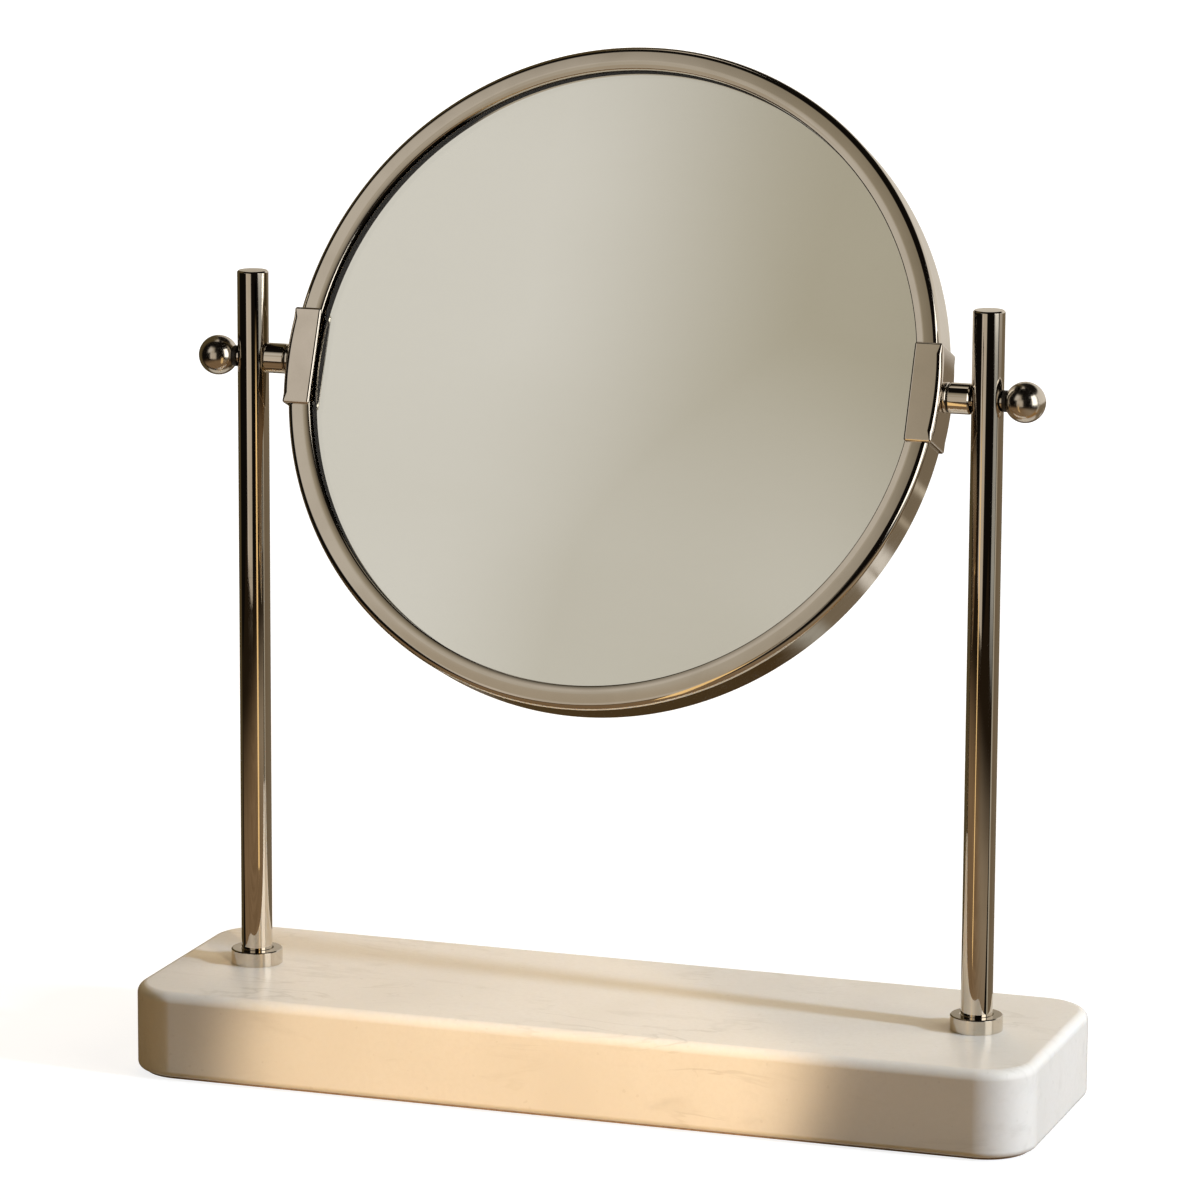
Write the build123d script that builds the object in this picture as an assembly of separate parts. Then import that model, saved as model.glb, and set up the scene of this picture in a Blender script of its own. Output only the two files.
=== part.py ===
from build123d import *
import math
import os

# Tilting vanity mirror: a round framed glass that turns between two posts on a stone slab.
# Millimetres. +X runs along the tilt axis to the right, +Y away from the viewer and +Z up.
# The origin is the middle of the underside, on the surface that the mirror stands on.

# Stone slab and the pad under it
slab_depth = 112.0
slab_height = 33.4
slab_end_overhang = 33.5
slab_corner_radius = 20.0
slab_top_round = 4.0
slab_bottom_round = 2.5
pad_thickness = 1.0
pad_margin = 0.6

# Posts and the collars round their feet
post_diameter = 12.0
post_above_pivot = 33.4
post_end_chamfer = 0.6
collar_diameter = 20.0
collar_height = 5.9
collar_chamfer = 0.4

# Screws and washers that hold the posts down, from below
stone_over_washer = 15.0
post_screw_diameter = 6.0
post_screw_engagement = 12.0
post_screw_head_diameter = 10.0
post_screw_head_height = 6.0
post_screw_socket_width = 5.0
post_screw_socket_depth = 3.0
flat_washer_diameter = 18.0
flat_washer_thickness = 1.6
lock_washer_diameter = 11.0
lock_washer_thickness = 1.5
lock_washer_slit = 1.2
counterbore_margin = 1.0
pad_hole_margin = 1.0
tapped_hole_spare = 4.0

# Rim and what it holds
rim_diameter = 255.0
rim_depth = 17.4
rim_face_width = 9.0
rim_wall = 6.0
rim_lip = 2.3
rim_crown = 0.15
rim_edge_round = 2.6
rim_lip_round = 0.8
rim_back_round = 0.4
rim_rebate_wall = 1.5
pivot_behind_face = 6.6
open_height_under_rim = 111.1
tilt_back_degrees = 22.4
glass_thickness = 4.0
glass_edge_chamfer = 0.5
back_plate_thickness = 1.2
back_plate_recess = 0.2

# Countersunk screws of the back plate
back_screw_count = 6
back_screw_diameter = 2.0
back_screw_head_diameter = 3.6
back_screw_length = 5.0
back_screw_slot_width = 0.5
back_screw_slot_depth = 0.5

# Saddle brackets over the rim
saddle_chord = 37.5
saddle_thickness = 1.4
saddle_shoulder_round = 2.4
saddle_edge_round_share = 0.65
saddle_room_round_share = 0.6

# Pivot studs, spacers, knobs and their washers
stud_diameter = 6.0
stud_thread_diameter = 5.0
stud_flange_diameter = 11.5
stud_flange_thickness = 1.3
stud_flange_chamfer = 0.3
stud_tail_web = 0.8
stud_end_chamfer = 0.5
friction_washer_diameter = 10.5
friction_washer_thickness = 0.4
spacer_diameter = 11.5
spacer_length = 8.3
spacer_chamfer = 0.5
knob_diameter = 15.2
knob_flat_depth = 1.0
knob_thread_depth = 8.0
knob_thread_spare = 1.0
knob_washer_diameter = 8.0
knob_washer_thickness = 1.5

# Clearances
running_clearance = 0.05
thread_clearance = 0.05
seat_gap = 0.1
seat_clearance = 0.3
screw_hole_clearance = 0.5
cut_overrun = 1.0

# Angles
right_angle = 90.0
half_turn = 180.0
full_turn = 360.0

# Radii
post_radius = post_diameter / 2
rim_radius = rim_diameter / 2
rim_lip_radius = rim_radius - rim_face_width
rim_bore_radius = rim_radius - rim_wall
rim_rebate_radius = rim_radius - rim_rebate_wall
back_screw_circle_radius = (rim_bore_radius + rim_rebate_radius) / 2
stud_radius = stud_diameter / 2
stud_thread_radius = stud_thread_diameter / 2
stud_flange_radius = stud_flange_diameter / 2
post_screw_radius = post_screw_diameter / 2
screw_hole_radius = post_screw_radius + screw_hole_clearance
flat_washer_radius = flat_washer_diameter / 2
counterbore_radius = flat_washer_radius + counterbore_margin
knob_radius = knob_diameter / 2

# Stations along the tilt axis, from the middle of the mirror outwards
saddle_inner_radius = rim_radius + running_clearance
saddle_outer_radius = saddle_inner_radius + saddle_thickness
stud_tail_start = rim_bore_radius + stud_tail_web
flange_start = saddle_outer_radius
flange_end = flange_start + stud_flange_thickness
friction_washer_end = flange_end + friction_washer_thickness
spacer_start = friction_washer_end + running_clearance
spacer_end = spacer_start + spacer_length
post_offset = spacer_end + post_radius
post_far_side = post_offset + post_radius
knob_washer_start = post_far_side + seat_gap
knob_washer_end = knob_washer_start + knob_washer_thickness
knob_seat = knob_washer_end + running_clearance
knob_centre = knob_seat + knob_radius - knob_flat_depth
stud_end = knob_seat + knob_thread_depth - knob_thread_spare

# Depths in the head, from the tilt axis towards the back
rim_front = -pivot_behind_face
rim_back = rim_front + rim_depth
glass_front = rim_front + rim_lip
glass_back = glass_front + glass_thickness
back_plate_back = rim_back - back_plate_recess
back_plate_front = back_plate_back - back_plate_thickness

# Heights above the surface that the mirror stands on
slab_bottom = pad_thickness
slab_top = slab_bottom + slab_height
pivot_height = slab_top + open_height_under_rim + rim_radius
post_top = pivot_height + post_above_pivot
washer_ceiling = slab_top - stone_over_washer
flat_washer_bottom = washer_ceiling - flat_washer_thickness
lock_washer_bottom = flat_washer_bottom - lock_washer_thickness
post_screw_head_bottom = lock_washer_bottom - post_screw_head_height
post_screw_tip = slab_top + post_screw_engagement

slab_length = 2 * (post_offset + slab_end_overhang)

# Turns a lathe's height axis to +X or +Z
along_x = Rot(0, 0, -right_angle)
along_z = Rot(right_angle, 0, 0)

# Sides of the mirror, as the sign of X
sides = {"left": -1, "right": 1}

# Place of the tilted head
head_place = Pos(0, 0, pivot_height) * Rot(-tilt_back_degrees, 0, 0)

# Place of everything that turns on the tilt axis, without the tilt
axis_place = Pos(0, 0, pivot_height)


def lathe(*profile):
    """Turn a closed profile of (radius, height) points about the height axis."""
    return revolve(make_face(Polyline(*profile, close=True)), Axis.Y)


def ring(inner, outer, low, high, chamfer_size):
    """Turn a ring whose two outer edges are chamfered."""
    return lathe(
        (inner, low),
        (outer - chamfer_size, low),
        (outer, low + chamfer_size),
        (outer, high - chamfer_size),
        (outer - chamfer_size, high),
        (inner, high),
    )


def washer(inner, outer, low, high):
    """Turn a flat ring with square edges."""
    return lathe((inner, low), (outer, low), (outer, high), (inner, high))


def upright_hole(radius, low, high):
    """Make the upright cylinder that cuts a hole between two heights."""
    hole = Cylinder(radius, high - low, align=(Align.CENTER, Align.CENTER, Align.MIN))
    return Pos(0, 0, low) * hole


def at_posts(shape):
    """Repeat an upright shape at both posts."""
    return [Pos(side * post_offset, 0, 0) * shape for side in sides.values()]


def on_side(shape, side):
    """Swing a shape made for the right-hand side about the upright to its own side."""
    if side > 0:
        return shape
    return Rot(0, 0, half_turn) * shape


def slab():
    """Make the stone slab with its soft edges and the counterbored screw holes."""
    body = extrude(RectangleRounded(slab_length, slab_depth, slab_corner_radius), slab_height)
    body = fillet(body.faces().sort_by(Axis.Z)[-1].edges(), slab_top_round)
    body = fillet(body.faces().sort_by(Axis.Z)[0].edges(), slab_bottom_round)
    body = Pos(0, 0, slab_bottom) * body
    body -= at_posts(upright_hole(screw_hole_radius, slab_bottom, slab_top + cut_overrun))
    body -= at_posts(upright_hole(counterbore_radius, slab_bottom - cut_overrun, washer_ceiling))
    return body


def pad():
    """Make the soft pad under the slab, with access holes to the screws."""
    inset = slab_bottom_round + pad_margin
    outline = RectangleRounded(slab_length - 2 * inset, slab_depth - 2 * inset, slab_corner_radius - inset)
    hole_radius = counterbore_radius + pad_hole_margin
    return extrude(outline, pad_thickness) - at_posts(
        upright_hole(hole_radius, -cut_overrun, pad_thickness + cut_overrun)
    )


def post():
    """Make a post with its cross-hole for the stud and the tapped hole in its foot."""
    rod = along_z * lathe(
        (0, slab_top),
        (post_radius - post_end_chamfer, slab_top),
        (post_radius, slab_top + post_end_chamfer),
        (post_radius, post_top - post_end_chamfer),
        (post_radius - post_end_chamfer, post_top),
        (0, post_top),
    )
    rod -= upright_hole(
        post_screw_radius + thread_clearance, slab_top - cut_overrun, post_screw_tip + tapped_hole_spare
    )
    cross_hole = Cylinder(stud_radius + running_clearance, post_diameter + 2 * cut_overrun)
    return rod - axis_place * along_x * Rot(-right_angle, 0, 0) * cross_hole


def collar():
    """Make the ring round a post's foot, with its bore chamfered at the top."""
    bore = post_radius + running_clearance
    outer = collar_diameter / 2
    top = slab_top + collar_height
    return along_z * lathe(
        (bore, slab_top),
        (outer, slab_top),
        (outer, top - collar_chamfer),
        (outer - collar_chamfer, top),
        (bore + collar_chamfer, top),
        (bore, top - collar_chamfer),
    )


def post_screw():
    """Make a socket-head screw that stands head down."""
    head_radius = post_screw_head_diameter / 2
    screw = along_z * lathe(
        (0, post_screw_head_bottom),
        (head_radius, post_screw_head_bottom),
        (head_radius, lock_washer_bottom),
        (post_screw_radius, lock_washer_bottom),
        (post_screw_radius, post_screw_tip),
        (0, post_screw_tip),
    )
    socket = extrude(
        RegularPolygon(post_screw_socket_width / 2, 6, major_radius=False), post_screw_socket_depth
    )
    return screw - Pos(0, 0, post_screw_head_bottom) * socket


def flat_washer():
    """Make the wide washer that spreads the screw's pull over the stone."""
    return along_z * washer(screw_hole_radius, flat_washer_radius, flat_washer_bottom, washer_ceiling)


def lock_washer():
    """Make the split spring washer, pressed flat."""
    outer = lock_washer_diameter / 2
    split_ring = along_z * washer(
        post_screw_radius + running_clearance, outer, lock_washer_bottom, flat_washer_bottom
    )
    slit = Box(outer + cut_overrun, lock_washer_slit, lock_washer_thickness + 2 * cut_overrun,
               align=(Align.MIN, Align.CENTER, Align.MIN))
    return split_ring - Pos(0, 0, lock_washer_bottom - cut_overrun) * slit


def spacer():
    """Make the right-hand sleeve between the stud's flange and the post."""
    bore = stud_radius + running_clearance
    return along_x * ring(bore, spacer_diameter / 2, spacer_start, spacer_end, spacer_chamfer)


def stud_hole(radius):
    """Make the cylinder that cuts the stud's hole through saddle and rim."""
    hole = Cylinder(radius, saddle_outer_radius + cut_overrun - stud_tail_start,
                    align=(Align.CENTER, Align.CENTER, Align.MIN))
    return Rot(0, right_angle, 0) * Pos(0, 0, stud_tail_start) * hole


def rim():
    """Make the ring: crowned face, glass lip, rebate for the back plate, and its tapped holes."""
    face_edge = rim_front + rim_crown
    walls = Polyline(
        (rim_radius, face_edge),
        (rim_radius, rim_back),
        (rim_rebate_radius, rim_back),
        (rim_rebate_radius, back_plate_front),
        (rim_bore_radius, back_plate_front),
        (rim_bore_radius, glass_front),
        (rim_lip_radius, glass_front),
        (rim_lip_radius, face_edge),
    )
    crown = ThreePointArc(
        (rim_lip_radius, face_edge), ((rim_lip_radius + rim_radius) / 2, rim_front), (rim_radius, face_edge)
    )
    section = make_face(walls + crown)
    section = fillet(section.vertices().group_by(Axis.Y)[0].sort_by(Axis.X)[-1], rim_edge_round)
    section = fillet(section.vertices().group_by(Axis.X)[0].sort_by(Axis.Y)[0], rim_lip_round)
    section = fillet(section.vertices().group_by(Axis.Y)[-1], rim_back_round)
    body = revolve(section, Axis.Y)
    for swing in (0, half_turn):
        body -= Rot(0, swing, 0) * stud_hole(stud_thread_radius + thread_clearance)
    tapped = lathe(
        (0, back_plate_back - back_screw_length - thread_clearance),
        (back_screw_diameter / 2 + thread_clearance, back_plate_back - back_screw_length - thread_clearance),
        (back_screw_diameter / 2 + thread_clearance, back_plate_back),
        (0, back_plate_back),
    )
    return body - at_back_screws(tapped)


def at_back_screws(shape):
    """Repeat a shape round the back plate's screw circle, clear of the saddles."""
    step = full_turn / back_screw_count
    places = [Rot(0, (place + 1 / 2) * step, 0) for place in range(back_screw_count)]
    return [place * Pos(back_screw_circle_radius, 0, 0) * shape for place in places]


def back_screw(room):
    """Make a countersunk screw, or with some room round it, the hole that it sinks into."""
    head_radius = back_screw_head_diameter / 2 + room
    shank_radius = back_screw_diameter / 2 + room
    tip = back_plate_back - back_screw_length
    return lathe(
        (0, tip),
        (shank_radius, tip),
        (shank_radius, back_plate_back - (head_radius - shank_radius)),
        (head_radius, back_plate_back),
        (0, back_plate_back),
    )


def slotted_back_screw():
    """Make a countersunk screw with a cross recess in its head."""
    slot = Box(back_screw_diameter, back_screw_slot_depth, back_screw_slot_width,
               align=(Align.CENTER, Align.MAX, Align.CENTER))
    slot = Pos(0, back_plate_back, 0) * slot
    return back_screw(0) - slot - Rot(0, right_angle, 0) * slot


def glass():
    """Make the glass disc with ground edges."""
    radius = rim_bore_radius - seat_clearance
    return lathe(
        (0, glass_front),
        (radius - glass_edge_chamfer, glass_front),
        (radius, glass_front + glass_edge_chamfer),
        (radius, glass_back - glass_edge_chamfer),
        (radius - glass_edge_chamfer, glass_back),
        (0, glass_back),
    )


def backing_board():
    """Make the board that fills the rim between the glass and the back plate."""
    radius = rim_bore_radius - seat_clearance
    return lathe((0, glass_back), (radius, glass_back), (radius, back_plate_front), (0, back_plate_front))


def back_plate():
    """Make the disc that closes the back, with its countersunk holes."""
    radius = rim_rebate_radius - seat_gap
    disc = lathe(
        (0, back_plate_front), (radius, back_plate_front), (radius, back_plate_back), (0, back_plate_back)
    )
    return disc - at_back_screws(back_screw(thread_clearance))


def depth_disc(radius, front, back):
    """Make a disc about the head's depth axis."""
    return lathe((0, front), (radius, front), (radius, back), (0, back))


def bracket():
    """Make the right-hand saddle: a U over the rim with square ends, broad shoulders and the stud's hole."""
    front_inside = rim_front - running_clearance
    front_outside = front_inside - saddle_thickness
    back_inside = rim_back + running_clearance
    back_outside = back_inside + saddle_thickness
    reach = math.sqrt(rim_lip_radius**2 - (saddle_chord / 2) ** 2)
    block = Box(rim_radius, back_outside - front_outside, saddle_chord,
                align=(Align.MIN, Align.MIN, Align.CENTER))
    body = Pos(reach, front_outside, 0) * block
    body &= depth_disc(saddle_outer_radius, front_outside - cut_overrun, back_outside + cut_overrun)
    body = fillet(body.edges().filter_by(GeomType.CIRCLE), saddle_shoulder_round)
    ends = body.faces().group_by(Axis.Z)
    outline = ends[0].edges() + ends[-1].edges() + body.edges().filter_by(Axis.Z)
    body = fillet(outline, saddle_thickness * saddle_edge_round_share)
    room = depth_disc(saddle_inner_radius, front_inside, back_inside)
    body -= fillet(room.edges().group_by(Axis.Y)[0], rim_edge_round * saddle_room_round_share)
    return body - stud_hole(stud_thread_radius + thread_clearance)


def pivot_stud():
    """Make the right-hand stud: tail in the rim, flange, journal through the post, thread for the knob."""
    return along_x * lathe(
        (0, stud_tail_start),
        (stud_thread_radius, stud_tail_start),
        (stud_thread_radius, flange_start),
        (stud_flange_radius - stud_flange_chamfer, flange_start),
        (stud_flange_radius, flange_start + stud_flange_chamfer),
        (stud_flange_radius, flange_end - stud_flange_chamfer),
        (stud_flange_radius - stud_flange_chamfer, flange_end),
        (stud_radius, flange_end),
        (stud_radius, post_far_side),
        (stud_thread_radius, post_far_side),
        (stud_thread_radius, stud_end - stud_end_chamfer),
        (stud_thread_radius - stud_end_chamfer, stud_end),
        (0, stud_end),
    )


def friction_washer():
    """Make the right-hand washer between the stud's flange and the spacer."""
    bore = stud_radius + running_clearance
    return along_x * washer(bore, friction_washer_diameter / 2, flange_end, friction_washer_end)


def knob_washer():
    """Make the right-hand washer between the post and the ball."""
    bore = stud_thread_radius + running_clearance
    return along_x * washer(bore, knob_washer_diameter / 2, knob_washer_start, knob_washer_end)


def knob():
    """Make the right-hand ball nut: a ball with a flat seat and a blind tapped hole."""
    ball = split(Sphere(knob_radius), Plane.XY.offset(knob_flat_depth - knob_radius), keep=Keep.TOP)
    hole = upright_hole(
        stud_thread_radius + thread_clearance,
        knob_flat_depth - knob_radius - cut_overrun,
        knob_flat_depth - knob_radius + knob_thread_depth,
    )
    return Pos(knob_centre, 0, 0) * Rot(0, right_angle, 0) * (ball - hole)


def group(shapes):
    """Hold separate solids in one node."""
    return Compound(children=shapes)


nodes = {
    "base_slab": slab(),
    "base_pad": pad(),
    "post_screws": group(at_posts(post_screw())),
    "flat_washers": group(at_posts(flat_washer())),
    "lock_washers": group(at_posts(lock_washer())),
    "rim": head_place * rim(),
    "mirror_glass": head_place * glass(),
    "backing_board": head_place * backing_board(),
    "back_plate": head_place * back_plate(),
    "back_plate_screws": head_place * group(at_back_screws(slotted_back_screw())),
}
for name, side in sides.items():
    nodes[f"{name}_post"] = Pos(side * post_offset, 0, 0) * post()
    nodes[f"{name}_collar"] = Pos(side * post_offset, 0, 0) * collar()
    nodes[f"{name}_spacer"] = axis_place * on_side(spacer(), side)
    nodes[f"{name}_pivot_stud"] = axis_place * on_side(pivot_stud(), side)
    nodes[f"{name}_friction_washer"] = axis_place * on_side(friction_washer(), side)
    nodes[f"{name}_knob_washer"] = axis_place * on_side(knob_washer(), side)
    nodes[f"{name}_knob"] = axis_place * on_side(knob(), side)
nodes["right_bracket"] = head_place * bracket()
nodes["left_bracket"] = head_place * Rot(0, half_turn, 0) * bracket()

os.makedirs("parts", exist_ok=True)
for node, shape in nodes.items():
    export_step(shape, f"parts/{node}.step")
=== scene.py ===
"""Looks of a tilting vanity mirror: a round glass in a nickel rim that turns between two posts on a marble slab.

Metres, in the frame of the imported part: +X along the tilt axis to the right, +Y away from the viewer, +Z up.
"""

import logging
import math
from dataclasses import dataclass, field
from enum import Enum
from typing import Any

import bmesh
import bpy
from bmesh.types import BMesh, BMVert
from bpy.types import Camera, Light, Material, Mesh, NodeSocket, NodeTree, Object
from mathutils import Matrix, Vector


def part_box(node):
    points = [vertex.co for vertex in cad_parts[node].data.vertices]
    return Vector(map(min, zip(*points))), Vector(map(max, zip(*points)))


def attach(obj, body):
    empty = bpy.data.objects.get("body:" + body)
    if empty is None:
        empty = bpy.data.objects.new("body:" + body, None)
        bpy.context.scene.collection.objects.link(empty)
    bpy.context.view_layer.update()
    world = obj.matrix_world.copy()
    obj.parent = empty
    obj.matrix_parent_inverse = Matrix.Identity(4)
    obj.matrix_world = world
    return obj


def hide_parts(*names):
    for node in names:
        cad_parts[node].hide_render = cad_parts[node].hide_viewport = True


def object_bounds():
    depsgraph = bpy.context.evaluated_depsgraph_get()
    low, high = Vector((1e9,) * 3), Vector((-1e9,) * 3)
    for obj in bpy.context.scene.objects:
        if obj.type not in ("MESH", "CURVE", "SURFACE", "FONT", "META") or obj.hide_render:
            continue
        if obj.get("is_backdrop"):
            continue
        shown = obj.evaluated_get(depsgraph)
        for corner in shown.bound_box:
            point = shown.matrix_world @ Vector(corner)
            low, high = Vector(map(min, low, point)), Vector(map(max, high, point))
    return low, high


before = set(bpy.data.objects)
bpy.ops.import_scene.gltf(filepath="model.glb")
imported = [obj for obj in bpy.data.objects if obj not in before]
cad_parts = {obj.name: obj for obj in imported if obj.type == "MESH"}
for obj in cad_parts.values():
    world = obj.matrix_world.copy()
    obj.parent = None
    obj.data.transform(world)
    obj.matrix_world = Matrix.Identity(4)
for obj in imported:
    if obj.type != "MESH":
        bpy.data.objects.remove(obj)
CAD_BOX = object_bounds()

MM = 0.001
POST_OFFSET = 145.0 * MM
PIVOT_HEIGHT = 273.0 * MM
ON_AXIS = 1e-8
MERGE_DISTANCE = 1e-7
CREASE_DEGREES = 40.0
Colour = tuple[float, float, float]
Point = tuple[float, float, float]
Pair = tuple[float, float]
Profile = list[tuple[float, float]]
Corners = list[tuple[float, float, float]]
log = logging.getLogger("vanity_mirror")


class Side(Enum):
    """The two ends of the tilt axis, by the sign of X."""

    LEFT = -1
    RIGHT = 1

    @property
    def word(self) -> str:
        """Give the side's name as the nodes spell it."""
        return self.name.lower()

    def outward(self) -> Matrix:
        """Give the place of a turned piece whose axis runs outwards along the tilt axis."""
        return Matrix.Translation((0, 0, PIVOT_HEIGHT)) @ Matrix.Rotation(math.radians(90 * self.value), 4, "Y")


class Body(Enum):
    """The bodies that the pieces ride on."""

    STAND = "stand"
    HEAD = "mirror_head"
    LEFT_WASHER = "left_washer"
    RIGHT_WASHER = "right_washer"
    LEFT_BALL = "left_ball"
    RIGHT_BALL = "right_ball"


class Slot(Enum):
    """The record's material slots."""

    STONE = "stone"
    PAD = "pad"
    NICKEL = "nickel"
    FIXINGS = "fixings"
    MIRROR = "mirror"
    BOARD = "board"
    BACK = "back"
    NYLON = "nylon"


class Ray(Enum):
    """The kinds of rays that an object can be hidden from, by the setting's name."""

    CAMERA = "visible_camera"
    DIFFUSE = "visible_diffuse"
    GLOSSY = "visible_glossy"
    TRANSMISSION = "visible_transmission"
    SCATTER = "visible_volume_scatter"
    SHADOW = "visible_shadow"


# Node trees

class Wire:
    """A node's output socket that takes part in Python arithmetic."""

    def __init__(self, bench: "Bench", socket: NodeSocket) -> None:
        """Keep a socket and the bench that its node stands on."""
        self.bench = bench
        self.socket = socket

    def _math(self, operation: str, first: "Wire | float", second: "Wire | float") -> "Wire":
        """Add one Math node with its two operands."""
        return self.bench.add("ShaderNodeMath", {"operation": operation}, {0: first, 1: second})

    def __add__(self, other: "Wire | float") -> "Wire":
        """Add."""
        return self._math("ADD", self, other)

    def __radd__(self, other: float) -> "Wire":
        """Add to a number."""
        return self._math("ADD", other, self)

    def __sub__(self, other: "Wire | float") -> "Wire":
        """Subtract."""
        return self._math("SUBTRACT", self, other)

    def __rsub__(self, other: float) -> "Wire":
        """Subtract from a number."""
        return self._math("SUBTRACT", other, self)

    def __mul__(self, other: "Wire | float") -> "Wire":
        """Multiply."""
        return self._math("MULTIPLY", self, other)

    def __rmul__(self, other: float) -> "Wire":
        """Multiply a number."""
        return self._math("MULTIPLY", other, self)

    def __abs__(self) -> "Wire":
        """Drop the sign."""
        return self._math("ABSOLUTE", self, 0.0)

    def root(self) -> "Wire":
        """Take the square root."""
        return self._math("POWER", self, 0.5)

    def at_least(self, other: "Wire | float") -> "Wire":
        """Take the larger of two values."""
        return self._math("MAXIMUM", self, other)

    def at_most(self, other: "Wire | float") -> "Wire":
        """Take the smaller of two values."""
        return self._math("MINIMUM", self, other)

    def angle_from(self, other: "Wire") -> "Wire":
        """Give the angle, in degrees, whose tangent is this value over another."""
        return self._math("ARCTAN2", self, other) * math.degrees(1)


class Bench:
    """A node tree that is filled one node at a time."""

    def __init__(self, tree: NodeTree) -> None:
        """Clear a tree and work on it."""
        self.tree = tree
        tree.nodes.clear()

    def add(self, kind: str, settings: dict[str, Any] | None = None,
            sockets: dict[str | int, Any] | None = None, output: str | int = 0) -> Wire | None:
        """Add a node.

        Args:
            kind: the node's type.
            settings: the node's own settings, set first.
            sockets: values or wires of the inputs, by name or place.
            output: the output to give back.

        Returns:
            The wire of that output, or nothing where the node has none.
        """
        node = self.tree.nodes.new(kind)
        for name, value in (settings or {}).items():
            setattr(node, name, value)
        for name, value in (sockets or {}).items():
            if isinstance(value, Wire):
                self.tree.links.new(value.socket, node.inputs[name])
            elif isinstance(value, tuple) and len(value) == 3 and node.inputs[name].type == "RGBA":
                node.inputs[name].default_value = (*value, 1.0)
            else:
                node.inputs[name].default_value = value
        return Wire(self, node.outputs[output]) if len(node.outputs) else None


class ShaderBench(Bench):
    """The node tree of one material, or of the world, with the few nodes that the finishes share."""

    def place(self, turn: Point = (0, 0, 0), scale: Point = (1, 1, 1), shift: Point = (0, 0, 0)) -> Wire:
        """Give the piece's own coordinates, shifted, then turned and scaled.

        Args:
            turn: turn about X, Y and Z in radians.
            scale: scale along X, Y and Z.
            shift: point that becomes the origin.

        Returns:
            The vector's wire.
        """
        spot = self.add("ShaderNodeTexCoord", output="Object")
        moved = self.add("ShaderNodeVectorMath", {"operation": "SUBTRACT"}, {0: spot, 1: shift})
        return self.add("ShaderNodeMapping", {"vector_type": "POINT"},
                        {"Vector": moved, "Rotation": turn, "Scale": scale})

    def axes(self, vector: Wire) -> tuple[Wire, Wire, Wire]:
        """Split a vector into X, Y and Z."""
        parts = self.add("ShaderNodeSeparateXYZ", None, {0: vector}).socket.node
        return tuple(Wire(self, socket) for socket in parts.outputs)

    def reach(self, *parts: Wire) -> Wire:
        """Give the length of the vector that has these parts."""
        first, *rest = (part * part for part in parts)
        return sum(rest, first).root()

    def noise(self, vector: Wire, scale: float, detail: float = 2.0, rough: float = 0.5, warp: float = 0.0) -> Wire:
        """Give soft noise from 0 to 1, with layers of finer noise and a bend by itself."""
        return self.add("ShaderNodeTexNoise", None, {
            "Vector": vector, "Scale": scale, "Detail": detail, "Roughness": rough, "Distortion": warp}, "Fac")

    def ease(self, value: Wire, low: float, high: float, start: float = 0.0, end: float = 1.0) -> Wire:
        """Go smoothly from a start to an end number while a value rises from low to high."""
        return self.add("ShaderNodeMapRange", {"interpolation_type": "SMOOTHSTEP"}, {
            "Value": value, "From Min": low, "From Max": high, "To Min": start, "To Max": end})

    def band(self, value: Wire, low: float, high: float, soft: float) -> Wire:
        """Give 1 between two values and 0 outside them, with soft edges."""
        return self.ease(value, low - soft, low + soft) * self.ease(value, high - soft, high + soft, 1.0, 0.0)

    def mix(self, share: Wire | float, first: Any, second: Any) -> Wire:
        """Blend two colours by a share."""
        return self.add("ShaderNodeMix", {"data_type": "RGBA"}, {0: share, 6: first, 7: second}, 2)

    def bump(self, height: Wire, strength: float, distance: float) -> Wire:
        """Turn a height into a normal."""
        return self.add("ShaderNodeBump", None, {"Strength": strength, "Distance": distance, "Height": height})

    def glow(self, colour: Wire) -> Wire:
        """Shine in a colour at the level at which white is white."""
        return self.add("ShaderNodeEmission", None, {"Color": colour, "Strength": 1.0})

    def choose(self, share: Wire, first: Wire, second: Wire) -> Wire:
        """Blend two shaders by a share."""
        return self.add("ShaderNodeMixShader", None, {0: share, 1: first, 2: second})

    def shows_background(self) -> Wire:
        """Give 1 for the rays that show the background: camera, glossy and transmission rays.

        Returns:
            The share's wire.
        """
        path = self.add("ShaderNodeLightPath").socket.node
        camera, glossy, through = (
            Wire(self, path.outputs[name]) for name in ("Is Camera Ray", "Is Glossy Ray", "Is Transmission Ray"))
        return camera.at_least(glossy).at_least(through)

    def finish(self, shader: Wire) -> None:
        """Lead a shader to the material's output."""
        self.add("ShaderNodeOutputMaterial", None, {"Surface": shader})


def new_material(name: str) -> tuple[Material, ShaderBench]:
    """Make an empty node material.

    Args:
        name: the material's name.

    Returns:
        The material and the bench of its tree.
    """
    material = bpy.data.materials.new(name)
    material.use_nodes = True
    return material, ShaderBench(material.node_tree)


# Finishes

@dataclass(frozen=True)
class Finish:
    """A named finish. Each kind gives the inputs of one Principled shader."""

    name: str

    def inputs(self, bench: ShaderBench) -> dict[str, Any]:
        """Give the shader's inputs, by socket."""
        raise NotImplementedError

    def make(self) -> Material:
        """Make the material.

        Returns:
            The material.
        """
        material, bench = new_material(self.name)
        bench.finish(bench.add("ShaderNodeBsdfPrincipled", None, self.inputs(bench)))
        return material


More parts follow.
